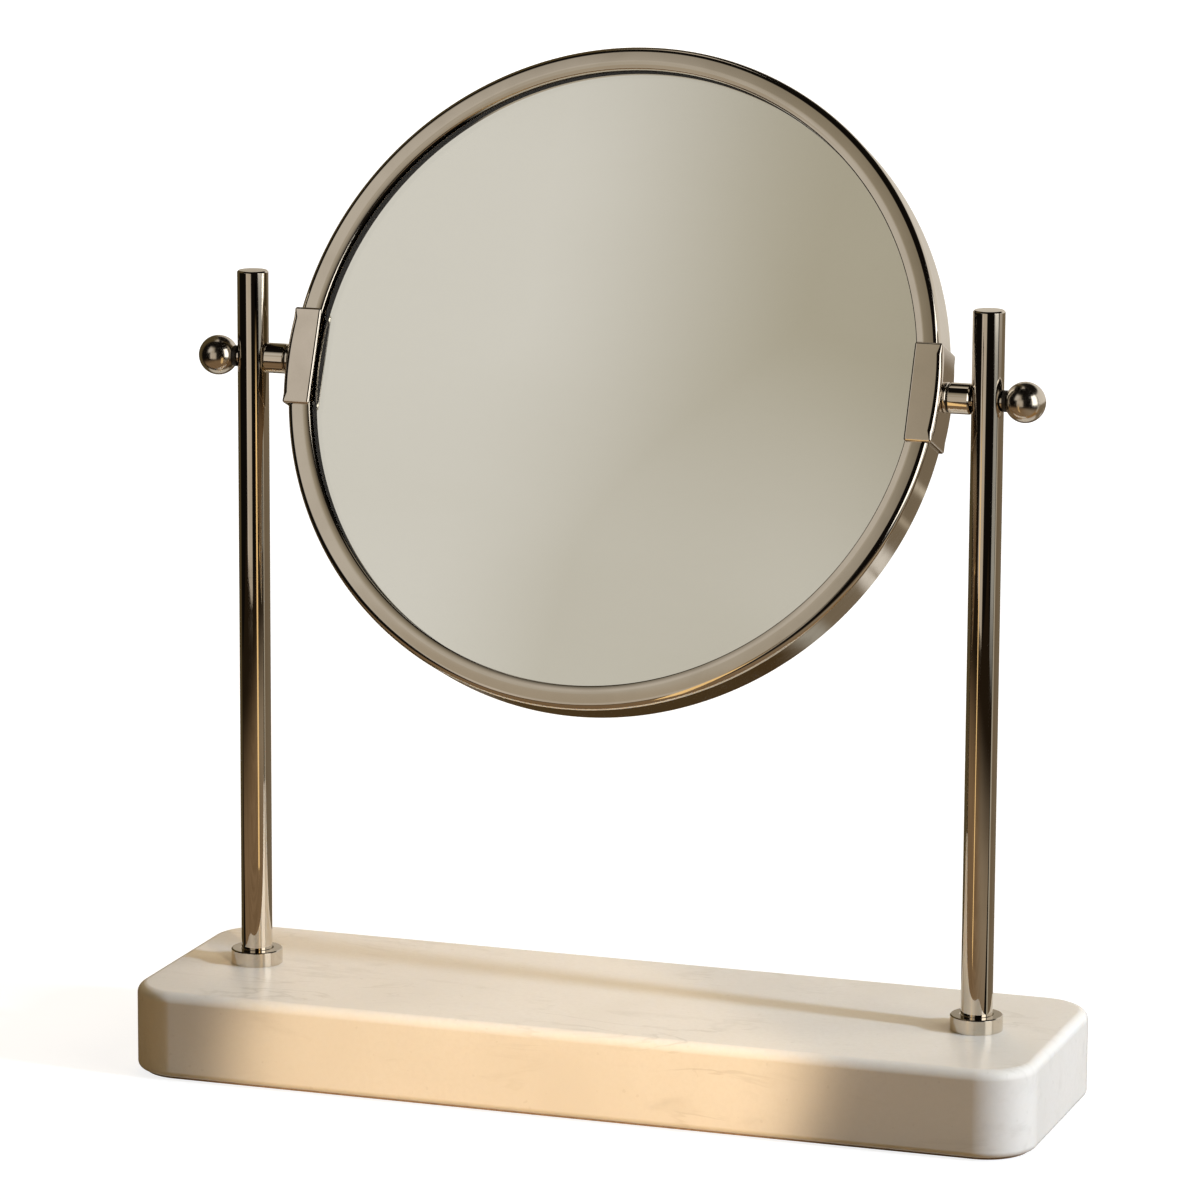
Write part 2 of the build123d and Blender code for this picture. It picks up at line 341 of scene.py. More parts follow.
@dataclass(frozen=True)
class PolishedNickel(Finish):
    """Nickel plate, buffed bright, with faint hand marks."""

    tint: Colour = (0.66, 0.605, 0.525)
    shade: Colour = (0.62, 0.565, 0.485)
    gloss: float = 0.028
    haze: float = 0.05
    grain: float = 0.02
    wave: float = 0.02
    wave_depth: float = 0.4 * MM
    mark_scale: float = 46.0
    grain_scale: float = 900.0
    wave_scale: float = 70.0

    def inputs(self, bench: ShaderBench) -> dict[str, Any]:
        """Cloud the colour and the gloss with marks, and let the surface wave a little.

        Args:
            bench: the material's tree.

        Returns:
            The shader's inputs, by socket.
        """
        spot = bench.place()
        marks = bench.noise(spot, self.mark_scale, detail=4.0, rough=0.55, warp=0.6)
        grain = bench.noise(spot, self.grain_scale)
        smear = bench.ease(marks, 0.48, 0.78)
        return {
            "Base Color": bench.mix(bench.ease(marks, 0.3, 0.7), self.tint, self.shade), "Metallic": 1.0,
            "Roughness": self.gloss + smear * self.haze + grain * self.grain,
            "Normal": bench.bump(bench.noise(spot, self.wave_scale, detail=1.0), self.wave, self.wave_depth)}


@dataclass(frozen=True)
class SpunNickel(Finish):
    """Satin nickel sheet with the fine rings that spinning leaves about the head's axis."""

    centre: Point
    lean: float
    tint: Colour = (0.70, 0.65, 0.58)
    shade: Colour = (0.60, 0.555, 0.49)
    gloss: float = 0.28
    ring_scale: float = 2600.0
    ring_depth: float = 0.05 * MM
    cloud_scale: float = 30.0

    def inputs(self, bench: ShaderBench) -> dict[str, Any]:
        """Ring the colour, the gloss and the surface about the head's axis.

        Args:
            bench: the material's tree.

        Returns:
            The shader's inputs, by socket.
        """
        across, _, along = bench.axes(bench.place(turn=(self.lean, 0, 0), shift=self.centre))
        rings = bench.add("ShaderNodeTexNoise", {"noise_dimensions": "1D"}, {
            "W": bench.reach(across, along), "Scale": self.ring_scale, "Detail": 3.0, "Roughness": 0.6}, "Fac")
        cloud = bench.noise(bench.place(), self.cloud_scale, detail=3.0)
        return {
            "Base Color": bench.mix(bench.ease(rings, 0.3, 0.7) * 0.6 + cloud * 0.3, self.tint, self.shade),
            "Metallic": 1.0, "Roughness": self.gloss + rings * 0.12 + cloud * 0.06,
            "Normal": bench.bump(rings, 0.12, self.ring_depth)}


@dataclass(frozen=True)
class HonedMarble(Finish):
    """Pale marble with faint grey-brown veins, soft clouds and a few specks."""

    pale: Colour = (0.83, 0.80, 0.745)
    cloud: Colour = (0.76, 0.725, 0.665)
    vein: Colour = (0.47, 0.43, 0.37)
    gloss: float = 0.20
    lie: Point = (0.3, 0.2, 0.5)
    streak_lie: Point = (0.25, 0.1, 0.42)
    streak_stretch: Point = (1.0, 3.2, 3.2)
    cloud_scale: float = 9.0
    vein_scale: float = 9.0
    vein_patch_scale: float = 17.0
    vein_width: float = 0.035
    smudge_scale: float = 20.0
    speck_scale: float = 420.0
    grain_scale: float = 240.0
    crystal_scale: float = 520.0
    crystal_share: float = 0.35
    smudge_share: float = 0.26
    vein_share: float = 0.32
    speck_share: float = 0.14
    glow_depth: float = 2.5 * MM
    grain_depth: float = 0.2 * MM

    def inputs(self, bench: ShaderBench) -> dict[str, Any]:
        """Lay clouds, crystals, smudges, veins and specks over each other.

        Args:
            bench: the material's tree.

        Returns:
            The shader's inputs, by socket.
        """
        spot = bench.place(self.lie)
        streaks = bench.place(self.streak_lie, self.streak_stretch)
        clouds = bench.noise(spot, self.cloud_scale, detail=3.0, warp=0.8)
        threads = bench.noise(streaks, self.vein_scale, detail=4.0, rough=0.55, warp=2.2)
        where = bench.ease(bench.noise(spot, self.vein_patch_scale), 0.50, 0.72)
        veins = (1.0 - bench.ease(abs(threads - 0.5), 0.0, self.vein_width)) * where
        smudges = bench.ease(bench.noise(streaks, self.smudge_scale, detail=4.0, rough=0.6, warp=1.2), 0.55, 0.80)
        specks = bench.ease(bench.noise(spot, self.speck_scale, detail=0.0), 0.80, 0.86)
        grain = bench.noise(spot, self.grain_scale)
        crystals = bench.ease(bench.noise(spot, self.crystal_scale, detail=3.0, rough=0.6), 0.35, 0.70)
        colour = bench.mix(bench.ease(clouds, 0.35, 0.75), self.pale, self.cloud)
        colour = bench.mix(crystals * self.crystal_share, colour, self.cloud)
        for mask, share in ((smudges, self.smudge_share), (veins, self.vein_share), (specks, self.speck_share)):
            colour = bench.mix(mask * share, colour, self.vein)
        return {
            "Base Color": colour, "Roughness": self.gloss + grain * 0.05 + clouds * 0.05, "IOR": 1.5,
            "Subsurface Weight": 0.12, "Subsurface Radius": (1.0, 0.8, 0.6), "Subsurface Scale": self.glow_depth,
            "Normal": bench.bump(grain, 0.006, self.grain_depth)}


@dataclass(frozen=True)
class ClearGlass(Finish):
    """Float glass with a trace of green and a few wipe marks."""

    tint: Colour = (0.955, 0.975, 0.955)
    wiped: Colour = (0.945, 0.965, 0.94)
    wipe_lie: Point = (0.2, 0.3, 0.6)
    wipe_stretch: Point = (1.0, 4.0, 4.0)
    wipe_scale: float = 9.0
    wipe_haze: float = 0.012

    def inputs(self, bench: ShaderBench) -> dict[str, Any]:
        """Wipe faint streaks over clear glass.

        Args:
            bench: the material's tree.

        Returns:
            The shader's inputs, by socket.
        """
        streaks = bench.place(self.wipe_lie, self.wipe_stretch)
        wipes = bench.noise(streaks, self.wipe_scale, detail=4.0, rough=0.55, warp=0.8)
        return {
            "Base Color": bench.mix(bench.ease(wipes, 0.4, 0.8), self.tint, self.wiped),
            "Roughness": bench.ease(wipes, 0.55, 0.85) * self.wipe_haze, "IOR": 1.52, "Transmission Weight": 1.0}


@dataclass(frozen=True)
class SilverFilm(Finish):
    """The silver behind the glass, a little cloudy towards its edge."""

    centre: Point
    radius: float
    tint: Colour = (0.955, 0.95, 0.93)
    edge: Colour = (0.74, 0.73, 0.69)
    gloss: float = 0.004
    edge_haze: float = 0.1
    edge_width: float = 1.5 * MM
    blotch_width: float = 2.0 * MM
    blotch_scale: float = 120.0

    def inputs(self, bench: ShaderBench) -> dict[str, Any]:
        """Cloud the film towards its edge, unevenly.

        Args:
            bench: the material's tree.

        Returns:
            The shader's inputs, by socket.
        """
        reach = bench.reach(*bench.axes(bench.place(shift=self.centre)))
        blotch = bench.noise(bench.place(), self.blotch_scale, detail=3.0)
        worn = bench.ease(reach + blotch * self.blotch_width,
                          self.radius - self.edge_width, self.radius + self.edge_width)
        return {
            "Base Color": bench.mix(worn, self.tint, self.edge), "Metallic": 1.0,
            "Roughness": self.gloss + worn * self.edge_haze}


@dataclass(frozen=True)
class BrownFelt(Finish):
    """Thin felt with loose fibres."""

    dark: Colour = (0.24, 0.15, 0.085)
    light: Colour = (0.46, 0.32, 0.20)
    stretch: Point = (1.0, 5.0, 1.0)
    lies: tuple[Point, Point] = ((0, 0, 0.7), (0, 0, -0.6))
    scales: Pair = (700.0, 800.0)
    nap: float = 0.3 * MM

    def inputs(self, bench: ShaderBench) -> dict[str, Any]:
        """Cross two layers of fibres.

        Args:
            bench: the material's tree.

        Returns:
            The shader's inputs, by socket.
        """
        fibres, crossing = (
            bench.noise(bench.place(lie, self.stretch), scale, detail=4.0, rough=0.7, warp=1.5)
            for lie, scale in zip(self.lies, self.scales))
        fuzz = fibres * 0.5 + crossing * 0.5
        return {
            "Base Color": bench.mix(bench.ease(fuzz, 0.3, 0.7), self.dark, self.light), "Roughness": 0.95,
            "Sheen Weight": 0.3, "Normal": bench.bump(fuzz, 0.6, self.nap)}


@dataclass(frozen=True)
class BlackNylon(Finish):
    """Moulded black nylon with a fine grain."""

    dark: Colour = (0.012, 0.011, 0.010)
    light: Colour = (0.035, 0.032, 0.029)
    gloss: float = 0.38
    grain_scale: float = 2200.0
    grain_depth: float = 0.05 * MM

    def inputs(self, bench: ShaderBench) -> dict[str, Any]:
        """Grain the colour, the gloss and the surface.

        Args:
            bench: the material's tree.

        Returns:
            The shader's inputs, by socket.
        """
        grain = bench.noise(bench.place(), self.grain_scale, detail=3.0)
        return {
            "Base Color": bench.mix(grain, self.dark, self.light), "Roughness": self.gloss + grain * 0.2,
            "Normal": bench.bump(grain, 0.15, self.grain_depth)}


@dataclass(frozen=True)
class PlatedSteel(Finish):
    """Plain plated steel of screws and washers, with a dull cloud here and there."""

    bright: Colour = (0.56, 0.55, 0.53)
    dull: Colour = (0.38, 0.36, 0.33)
    gloss: float = 0.24
    cloud_scale: float = 240.0
    grain_scale: float = 2600.0
    grain_depth: float = 0.04 * MM

    def inputs(self, bench: ShaderBench) -> dict[str, Any]:
        """Cloud the colour and grain the gloss and the surface.

        Args:
            bench: the material's tree.

        Returns:
            The shader's inputs, by socket.
        """
        cloud = bench.noise(bench.place(), self.cloud_scale, detail=4.0, rough=0.6, warp=0.5)
        grain = bench.noise(bench.place(), self.grain_scale)
        return {
            "Base Color": bench.mix(bench.ease(cloud, 0.4, 0.75), self.bright, self.dull), "Metallic": 1.0,
            "Roughness": self.gloss + cloud * 0.16 + grain * 0.05, "Normal": bench.bump(grain, 0.08, self.grain_depth)}


@dataclass(frozen=True)
class Fibreboard(Finish):
    """Pressed brown board with short fibres."""

    dark: Colour = (0.22, 0.135, 0.07)
    light: Colour = (0.42, 0.29, 0.17)
    lie: Point = (0.4, 0, 0.5)
    stretch: Point = (1.0, 4.0, 4.0)
    fibre_scale: float = 420.0
    fibre_depth: float = 0.2 * MM

    def inputs(self, bench: ShaderBench) -> dict[str, Any]:
        """Press short fibres into the colour and the surface.

        Args:
            bench: the material's tree.

        Returns:
            The shader's inputs, by socket.
        """
        fibres = bench.noise(bench.place(self.lie, self.stretch), self.fibre_scale, detail=5.0, rough=0.65, warp=2.0)
        return {
            "Base Color": bench.mix(bench.ease(fibres, 0.3, 0.7), self.dark, self.light), "Roughness": 0.85,
            "Normal": bench.bump(fibres, 0.3, self.fibre_depth)}


# Meshes

def stand(name: str, data: Mesh | Light | Camera) -> Object:
    """Put a mesh, a lamp or a camera into the scene.

    Args:
        name: the object's name.
        data: what the object shows.

    Returns:
        The object.
    """
    obj = bpy.data.objects.new(name, data)
    bpy.context.scene.collection.objects.link(obj)
    return obj


def hide(thing: Object, *rays: Ray) -> None:
    """Hide an object from some kinds of rays."""
    for ray in rays:
        setattr(thing, ray.value, False)


def rounded(corners: Corners, closed: bool, steps: int = 6) -> Profile:
    """Round the corners of a profile.

    Args:
        corners: radius, height and round of each corner; a round of 0 keeps it sharp.
        closed: whether the last corner runs on to the first.
        steps: pieces of each round.

    Returns:
        The profile's points.
    """
    points: list[Vector] = []
    count = len(corners)
    for index, (radius, height, size) in enumerate(corners):
        corner = Vector((radius, height))
        if size <= 0 or (not closed and index in (0, count - 1)):
            points.append(corner)
            continue
        back = (Vector(corners[index - 1][:2]) - corner).normalized()
        ahead = (Vector(corners[(index + 1) % count][:2]) - corner).normalized()
        half = back.angle(ahead) / 2
        middle = corner + (back + ahead).normalized() * (size / math.sin(half))
        start = corner + back * (size / math.tan(half)) - middle
        end = corner + ahead * (size / math.tan(half)) - middle
        first = math.atan2(start.y, start.x)
        sweep = (math.atan2(end.y, end.x) - first + math.pi) % math.tau - math.pi
        for step in range(steps + 1):
            angle = first + sweep * step / steps
            points.append(middle + size * Vector((math.cos(angle), math.sin(angle))))
    return [(point.x, point.y) for point in points]


def arc(centre: Pair, radius: float, first: float, last: float, steps: int) -> Profile:
    """Give points on an arc, from one angle to another in degrees."""
    angles = [math.radians(first + (last - first) * step / steps) for step in range(steps + 1)]
    return [(centre[0] + radius * math.cos(a), centre[1] + radius * math.sin(a)) for a in angles]


def ring_section(bore: float, radius: float, low: float, high: float, edge: float, cut: float = 0.0,
                 bore_edge: float = 0.0) -> Corners:
    """Give the corners of a ring's section, or of a disc's where the bore is 0.

    Args:
        bore: inner radius.
        radius: outer radius.
        low: lower end.
        high: upper end.
        edge: round of the outer edges.
        cut: chamfer of the outer edges.
        bore_edge: round of the inner edges.

    Returns:
        Radius, height and round of each corner.
    """
    outer = [(radius, low, edge), (radius, high, edge)]
    if cut:
        outer = [(radius - cut, low, edge), (radius, low + cut, edge),
                 (radius, high - cut, edge), (radius - cut, high, edge)]
    return [(bore, low, bore_edge), *outer, (bore, high, bore_edge)]


def plain_mesh(obj: Object) -> Mesh:
    """Turn an object and its modifiers into a plain mesh, and remove the object.

    Args:
        obj: the object.

    Returns:
        The mesh.
    """
    bpy.context.view_layer.update()
    made = bpy.data.meshes.new_from_object(obj.evaluated_get(bpy.context.evaluated_depsgraph_get()))
    bpy.data.objects.remove(obj)
    return made


def smooth_faces(mesh: Mesh) -> Mesh:
    """Shade a mesh smooth, keep its sharp edges, and let the broad faces lead the normals.

    Args:
        mesh: the mesh.

    Returns:
        The mesh with its normals.
    """
    mesh.shade_smooth()
    mesh.set_sharp_from_angle(angle=math.radians(CREASE_DEGREES))
    obj = stand("bench_work", mesh)
    lead = obj.modifiers.new("broad_faces_lead", "WEIGHTED_NORMAL")
    lead.keep_sharp = True
    return plain_mesh(obj)


def from_bmesh(name: str, form: BMesh, place: Matrix | None = None) -> Mesh:
    """Close a form, turn its faces outwards and put it in place.

    Args:
        name: the mesh's name.
        form: the form, which is freed.
        place: where it goes.

    Returns:
        The mesh.
    """
    bmesh.ops.remove_doubles(form, verts=form.verts, dist=MERGE_DISTANCE)
    bmesh.ops.recalc_face_normals(form, faces=form.faces)
    mesh = bpy.data.meshes.new(name)
    form.to_mesh(mesh)
    form.free()
    if place is not None:
        mesh.transform(place)
    return mesh


def skin(form: BMesh, rings: list[list[BMVert]], closed: bool = False) -> None:
    """Lay faces between rings of equal count, which are triangles where a ring is one point.

    Args:
        form: what the faces go into.
        rings: the rings' points.
        closed: whether the last ring runs on to the first.
    """
    for one, two in zip(rings, rings[1:] + rings[:1] if closed else rings[1:]):
        for step in range(len(one)):
            after = (step + 1) % len(one)
            corners = list(dict.fromkeys((one[step], one[after], two[after], two[step])))
            if len(corners) > 2:
                form.faces.new(corners)


def turned(name: str, profile: Profile, place: Matrix | None = None, closed: bool = False,
           segments: int = 96) -> Mesh:
    """Turn a profile about its height axis.

    Args:
        name: the mesh's name.
        profile: radius and height of its points.
        place: where the turned piece goes; its axis is the place's Z.
        closed: whether the last point runs on to the first, as round a bore.
        segments: faces round the axis.

    Returns:
        The smooth mesh.
    """
    form = bmesh.new()
    turns = [math.tau * step / segments for step in range(segments)]
    rings = []
    for radius, height in profile:
        if radius < ON_AXIS:
            rings.append([form.verts.new((0, 0, height))] * segments)
        else:
            rings.append([form.verts.new((radius * math.cos(a), radius * math.sin(a), height)) for a in turns])
    skin(form, rings, closed)
    return smooth_faces(from_bmesh(name, form, place))


def stacked(name: str, rows: list[list[Point]], place: Matrix | None = None) -> Mesh:
    """Join outlines of equal count, one over the other, into a closed block.

    Args:
        name: the mesh's name.
        rows: the outlines' points.
        place: where the block goes.

    Returns:
        The closed mesh.
    """
    form = bmesh.new()
    rings = [[form.verts.new(point) for point in row] for row in rows]
    skin(form, rings)
    form.faces.new(rings[0])
    form.faces.new(rings[-1])
    return from_bmesh(name, form, place)


def carved(mesh: Mesh, cutter: Mesh) -> Mesh:
    """Cut one mesh out of another.

    Args:
        mesh: what is cut.
        cutter: what it is cut by.

    Returns:
        The cut mesh.
    """
    tool = stand("bench_tool", cutter)
    obj = stand("bench_work", mesh)
    cut = obj.modifiers.new("cut", "BOOLEAN")
    cut.operation, cut.solver, cut.object = "DIFFERENCE", "EXACT", tool
    made = plain_mesh(obj)
    bpy.data.objects.remove(tool)
    return made


def joined(name: str, meshes: list[Mesh]) -> Mesh:
    """Put several meshes into one.

    Args:
        name: the new mesh's name.
        meshes: the meshes.

    Returns:
        The new mesh.
    """
    form = bmesh.new()
    for mesh in meshes:
        form.from_mesh(mesh)
    made = bpy.data.meshes.new(name)
    form.to_mesh(made)
    form.free()
    return made


def cutting_rod(radius: float, low: float, high: float, place: Matrix | None = None, sides: int = 64) -> Mesh:
    """Make the straight prism that cuts a hole or a socket.

    Args:
        radius: its radius over the corners.
        low: its lower end.
        high: its upper end.
        place: where it goes.
        sides: number of its sides.

    Returns:
        The mesh.
    """
    form = bmesh.new()
    bmesh.ops.create_cone(form, cap_ends=True, segments=sides, radius1=radius, radius2=radius, depth=high - low,
                          matrix=Matrix.Translation((0, 0, (low + high) / 2)))
    return from_bmesh("rod", form, place)


def cutting_block(size: Point, middle: Point, place: Matrix | None = None) -> Mesh:
    """Make the block that cuts a slit.

    Args:
        size: its length, width and height.
        middle: its middle.
        place: where it goes.

    Returns:
        The mesh.
    """
    form = bmesh.new()
    bmesh.ops.create_cube(form, size=1.0, matrix=Matrix.Translation(middle) @ Matrix.Diagonal((*size, 1)))
    return from_bmesh("block", form, place)


def lower_round(low: float, size: float, steps: int = 10) -> Profile:
    """Give how far a block's outlines stand in, and their heights, at its rounded lower edge."""
    return [(size - r, low + size + h) for r, h in arc((0, 0), size, -90, 0, steps)]


def upper_round(high: float, size: float, steps: int = 10) -> Profile:
    """Give how far a block's outlines stand in, and their heights, at its rounded upper edge."""
    return [(size - r, high - size + h) for r, h in arc((0, 0), size, 0, 90, steps)]


def cushion_block(name: str, half_length: float, half_depth: float, corner: float, levels: Profile,
                  corner_steps: int = 24) -> Mesh:
    """Stack rounded rectangles into a block with soft edges.

    Args:
        name: the mesh's name.
        half_length: half the block's length.
        half_depth: half the block's depth.
        corner: radius of its upright corners.
        levels: how far each outline stands in, and its height.
        corner_steps: faces round an upright corner.

    Returns:
        The closed mesh.
    """
    rows = []
    for inset, height in levels:
        row = []
        for quarter, (sign_x, sign_y) in enumerate(((1, 1), (-1, 1), (-1, -1), (1, -1))):
            middle = (sign_x * (half_length - corner), sign_y * (half_depth - corner))
            row += arc(middle, corner - inset, 90 * quarter, 90 * quarter + 90, corner_steps)
        rows.append([(x, y, height) for x, y in row])
    return stacked(name, rows)


def show(name: str, mesh: Mesh, materials: list[Material], body: Body, slot: Slot, *nodes: str) -> None:
    """Show a piece in place of its CAD nodes.

    Args:
        name: the piece's name.
        mesh: its mesh, in place.
        materials: its materials.
        body: the body that it rides on.
        slot: the record's slot that its finish comes from; not used.
        nodes: the CAD nodes that it stands for.
    """
    mesh.name = name
    for material in materials:
        if material.name not in mesh.materials:
            mesh.materials.append(material)
    obj = stand(name, mesh)
    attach(obj, body.value)
    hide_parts(*nodes)
    log.info("%s: %d faces, rides on %s, stands for %s", name, len(mesh.polygons), body.value, ", ".join(nodes))


# Geometry Nodes

class GrowingTree(Bench):
    """A Geometry Nodes tree with named inputs and a material, whose result becomes a plain mesh."""

    def __init__(self, name: str, inputs: dict[str, str]) -> None:
        """Make the tree with its inputs.

        Args:
            name: the tree's name.
            inputs: kind of socket of each named input.
        """
        super().__init__(bpy.data.node_groups.new(name, "GeometryNodeTree"))
        face = self.tree.interface
        face.new_socket("Geometry", in_out="INPUT", socket_type="NodeSocketGeometry")
        self.identifiers = {
            word: face.new_socket(word, in_out="INPUT", socket_type=f"NodeSocket{kind}").identifier
            for word, kind in {**inputs, "Material": "Material"}.items()}
        face.new_socket("Geometry", in_out="OUTPUT", socket_type="NodeSocketGeometry")
        self.source = self.tree.nodes.new("NodeGroupInput")

    def input(self, name: str) -> Wire:
        """Give the wire of a named input."""
        return Wire(self, self.source.outputs[name])

    def close(self, geometry: Wire) -> "GrowingTree":
        """End the tree in real geometry with its material.

        Args:
            geometry: what the tree has made.

        Returns:
            The finished tree.
        """
        real = self.add("GeometryNodeRealizeInstances", None, {0: geometry})
        dressed = self.add("GeometryNodeSetMaterial", None, {"Geometry": real, "Material": self.input("Material")})
        self.add("NodeGroupOutput", None, {0: dressed})
        return self

    def grow(self, mesh: Mesh, values: dict[str, Any]) -> Mesh:
        """Run the tree on a mesh.

        Args:
            mesh: what goes in.
            values: the named inputs' values.

        Returns:
            The plain mesh that comes out.
        """
        obj = stand("bench_work", mesh)
        modifier = obj.modifiers.new("grow", "NODES")
        modifier.node_group = self.tree
        for name, value in values.items():
            modifier[self.identifiers[name]] = value
        return plain_mesh(obj)


def swept_ring_tree() -> GrowingTree:
    """Make the tree that sweeps a closed section round a circle, for the rim.

    Returns:
        The tree.
    """
    tree = GrowingTree("swept_ring", {"Ring radius": "Float", "Steps": "Int"})
    section = tree.add("GeometryNodeMeshToCurve", None, {"Mesh": tree.input("Geometry")})
    circle = tree.add("GeometryNodeCurvePrimitiveCircle", None, {
        "Resolution": tree.input("Steps"), "Radius": tree.input("Ring radius")})
    level = tree.add("GeometryNodeSetCurveNormal", {"mode": "Z_UP"}, {"Curve": circle})
    return tree.close(tree.add("GeometryNodeCurveToMesh", None, {"Curve": level, "Profile Curve": section}))


def screw_circle_tree() -> GrowingTree:
    """Make the tree that sets a screw round a circle, each turned by chance.

    Returns:
        The tree.
    """
    tree = GrowingTree("screw_circle", {"Count": "Int", "Circle radius": "Float", "Seed": "Int"})
    circle = tree.add("GeometryNodeMeshCircle", {"fill_type": "NONE"}, {
        "Vertices": tree.input("Count"), "Radius": tree.input("Circle radius")})
    turn = tree.add("FunctionNodeRandomValue", {"data_type": "FLOAT_VECTOR"}, {
        "Min": (0, 0, 0), "Max": (0, 0, math.pi / 2), "Seed": tree.input("Seed")}, 0)
    return tree.close(tree.add("GeometryNodeInstanceOnPoints", None, {
        "Points": circle, "Instance": tree.input("Geometry"), "Rotation": turn}))


def post_pair_tree() -> GrowingTree:
    """Make the tree that repeats a fixing under both posts.

    Returns:
        The tree.
    """
    tree = GrowingTree("post_pair", {"Spacing": "Vector", "Start": "Vector"})
    feet = tree.add("GeometryNodeMeshLine", {"mode": "OFFSET"}, {
        "Count": 2, "Start Location": tree.input("Start"), "Offset": tree.input("Spacing")})
    return tree.close(tree.add("GeometryNodeInstanceOnPoints", None, {
        "Points": feet, "Instance": tree.input("Geometry")}))


# Sub-assemblies

@dataclass
class StoneBase:
    """The marble slab and the felt under it."""

    corner_radius: float = 20.0 * MM
    top_round: float = 4.0 * MM
    bottom_round: float = 2.5 * MM
    recess_radius: float = 10.0 * MM
    recess_ceiling: float = 19.4 * MM
    felt_hole_radius: float = 11.0 * MM
    felt_round: float = 0.3 * MM
    felt_round_steps: int = 4
    cut_overrun: float = 1.0 * MM

    def slab_mesh(self) -> Mesh:
        """Make the slab with its soft edges and the two screw recesses underneath.

        Returns:
            The mesh.
        """
        low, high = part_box("base_slab")
        levels = lower_round(low.z, self.bottom_round) + upper_round(high.z, self.top_round)
        block = cushion_block("slab", high.x, high.y, self.corner_radius, levels)
        holes = self.hole_rods(self.recess_radius, low.z - self.cut_overrun, self.recess_ceiling)
        return smooth_faces(carved(block, holes))

    def felt_mesh(self) -> Mesh:
        """Make the felt with its two access holes.

        Returns:
            The mesh.
        """
        low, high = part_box("base_pad")
        slab_low, slab_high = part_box("base_slab")
        corner = self.corner_radius - (slab_high.x - high.x)
        levels = [*lower_round(low.z, self.felt_round, self.felt_round_steps), (0.0, high.z)]
        block = cushion_block("felt", high.x, high.y, corner, levels)
        holes = self.hole_rods(self.felt_hole_radius, low.z - self.cut_overrun, slab_low.z + self.cut_overrun)
        return smooth_faces(carved(block, holes))

    def hole_rods(self, radius: float, low: float, high: float) -> Mesh:
        """Make the two rods that cut holes under the posts."""
        feet = [Matrix.Translation((side.value * POST_OFFSET, 0, 0)) for side in Side]
        return joined("holes", [cutting_rod(radius, low, high, foot) for foot in feet])

    def build(self, marble: Material, felt: Material) -> None:
        """Build and dress both pieces."""
        show("marble_slab", self.slab_mesh(), [marble], Body.STAND, Slot.STONE, "base_slab")
        show("felt_pad", self.felt_mesh(), [felt], Body.STAND, Slot.PAD, "base_pad")


@dataclass
class PostPair:
    """The two posts and the collars round their feet."""

    end_chamfer: float = 0.6 * MM
    edge_round: float = 0.22 * MM
    collar_chamfer: float = 0.4 * MM
    collar_round: float = 0.2 * MM
    bore_gap: float = 0.05 * MM
    segments: int = 128

    def post_mesh(self, side: Side) -> Mesh:
        """Turn a post with broken edges.

        Args:
            side: the post's side.

        Returns:
            The mesh.
        """
        low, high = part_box(f"{side.word}_post")
        section = ring_section(0, (high.x - low.x) / 2, low.z, high.z, self.edge_round, self.end_chamfer)
        place = Matrix.Translation(((low.x + high.x) / 2, 0, 0))
        return turned("post", rounded(section, False), place, segments=self.segments)

    def collar_mesh(self, side: Side) -> Mesh:
        """Turn a collar with a chamfered top.

        Args:
            side: the collar's side.

        Returns:
            The mesh.
        """
        low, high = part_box(f"{side.word}_collar")
        post_low, post_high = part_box(f"{side.word}_post")
        outer, bore = (high.x - low.x) / 2, (post_high.x - post_low.x) / 2 + self.bore_gap
        cut, edge = self.collar_chamfer, self.collar_round
        profile = rounded([
            (bore, low.z, 0), (outer, low.z, edge), (outer, high.z - cut, edge), (outer - cut, high.z, edge),
            (bore + cut, high.z, edge), (bore, high.z - cut, 0)], True)
        return turned("collar", profile, Matrix.Translation(((low.x + high.x) / 2, 0, 0)), True, self.segments)

    def build(self, nickel: Material) -> None:
        """Build and dress the posts and collars.

        Args:
            nickel: finish of both.
        """
        for side in Side:
            word = side.word
            show(f"{word}_upright_rod", self.post_mesh(side), [nickel], Body.STAND, Slot.NICKEL, f"{word}_post")
            show(f"{word}_foot_collar", self.collar_mesh(side), [nickel], Body.STAND, Slot.NICKEL, f"{word}_collar")


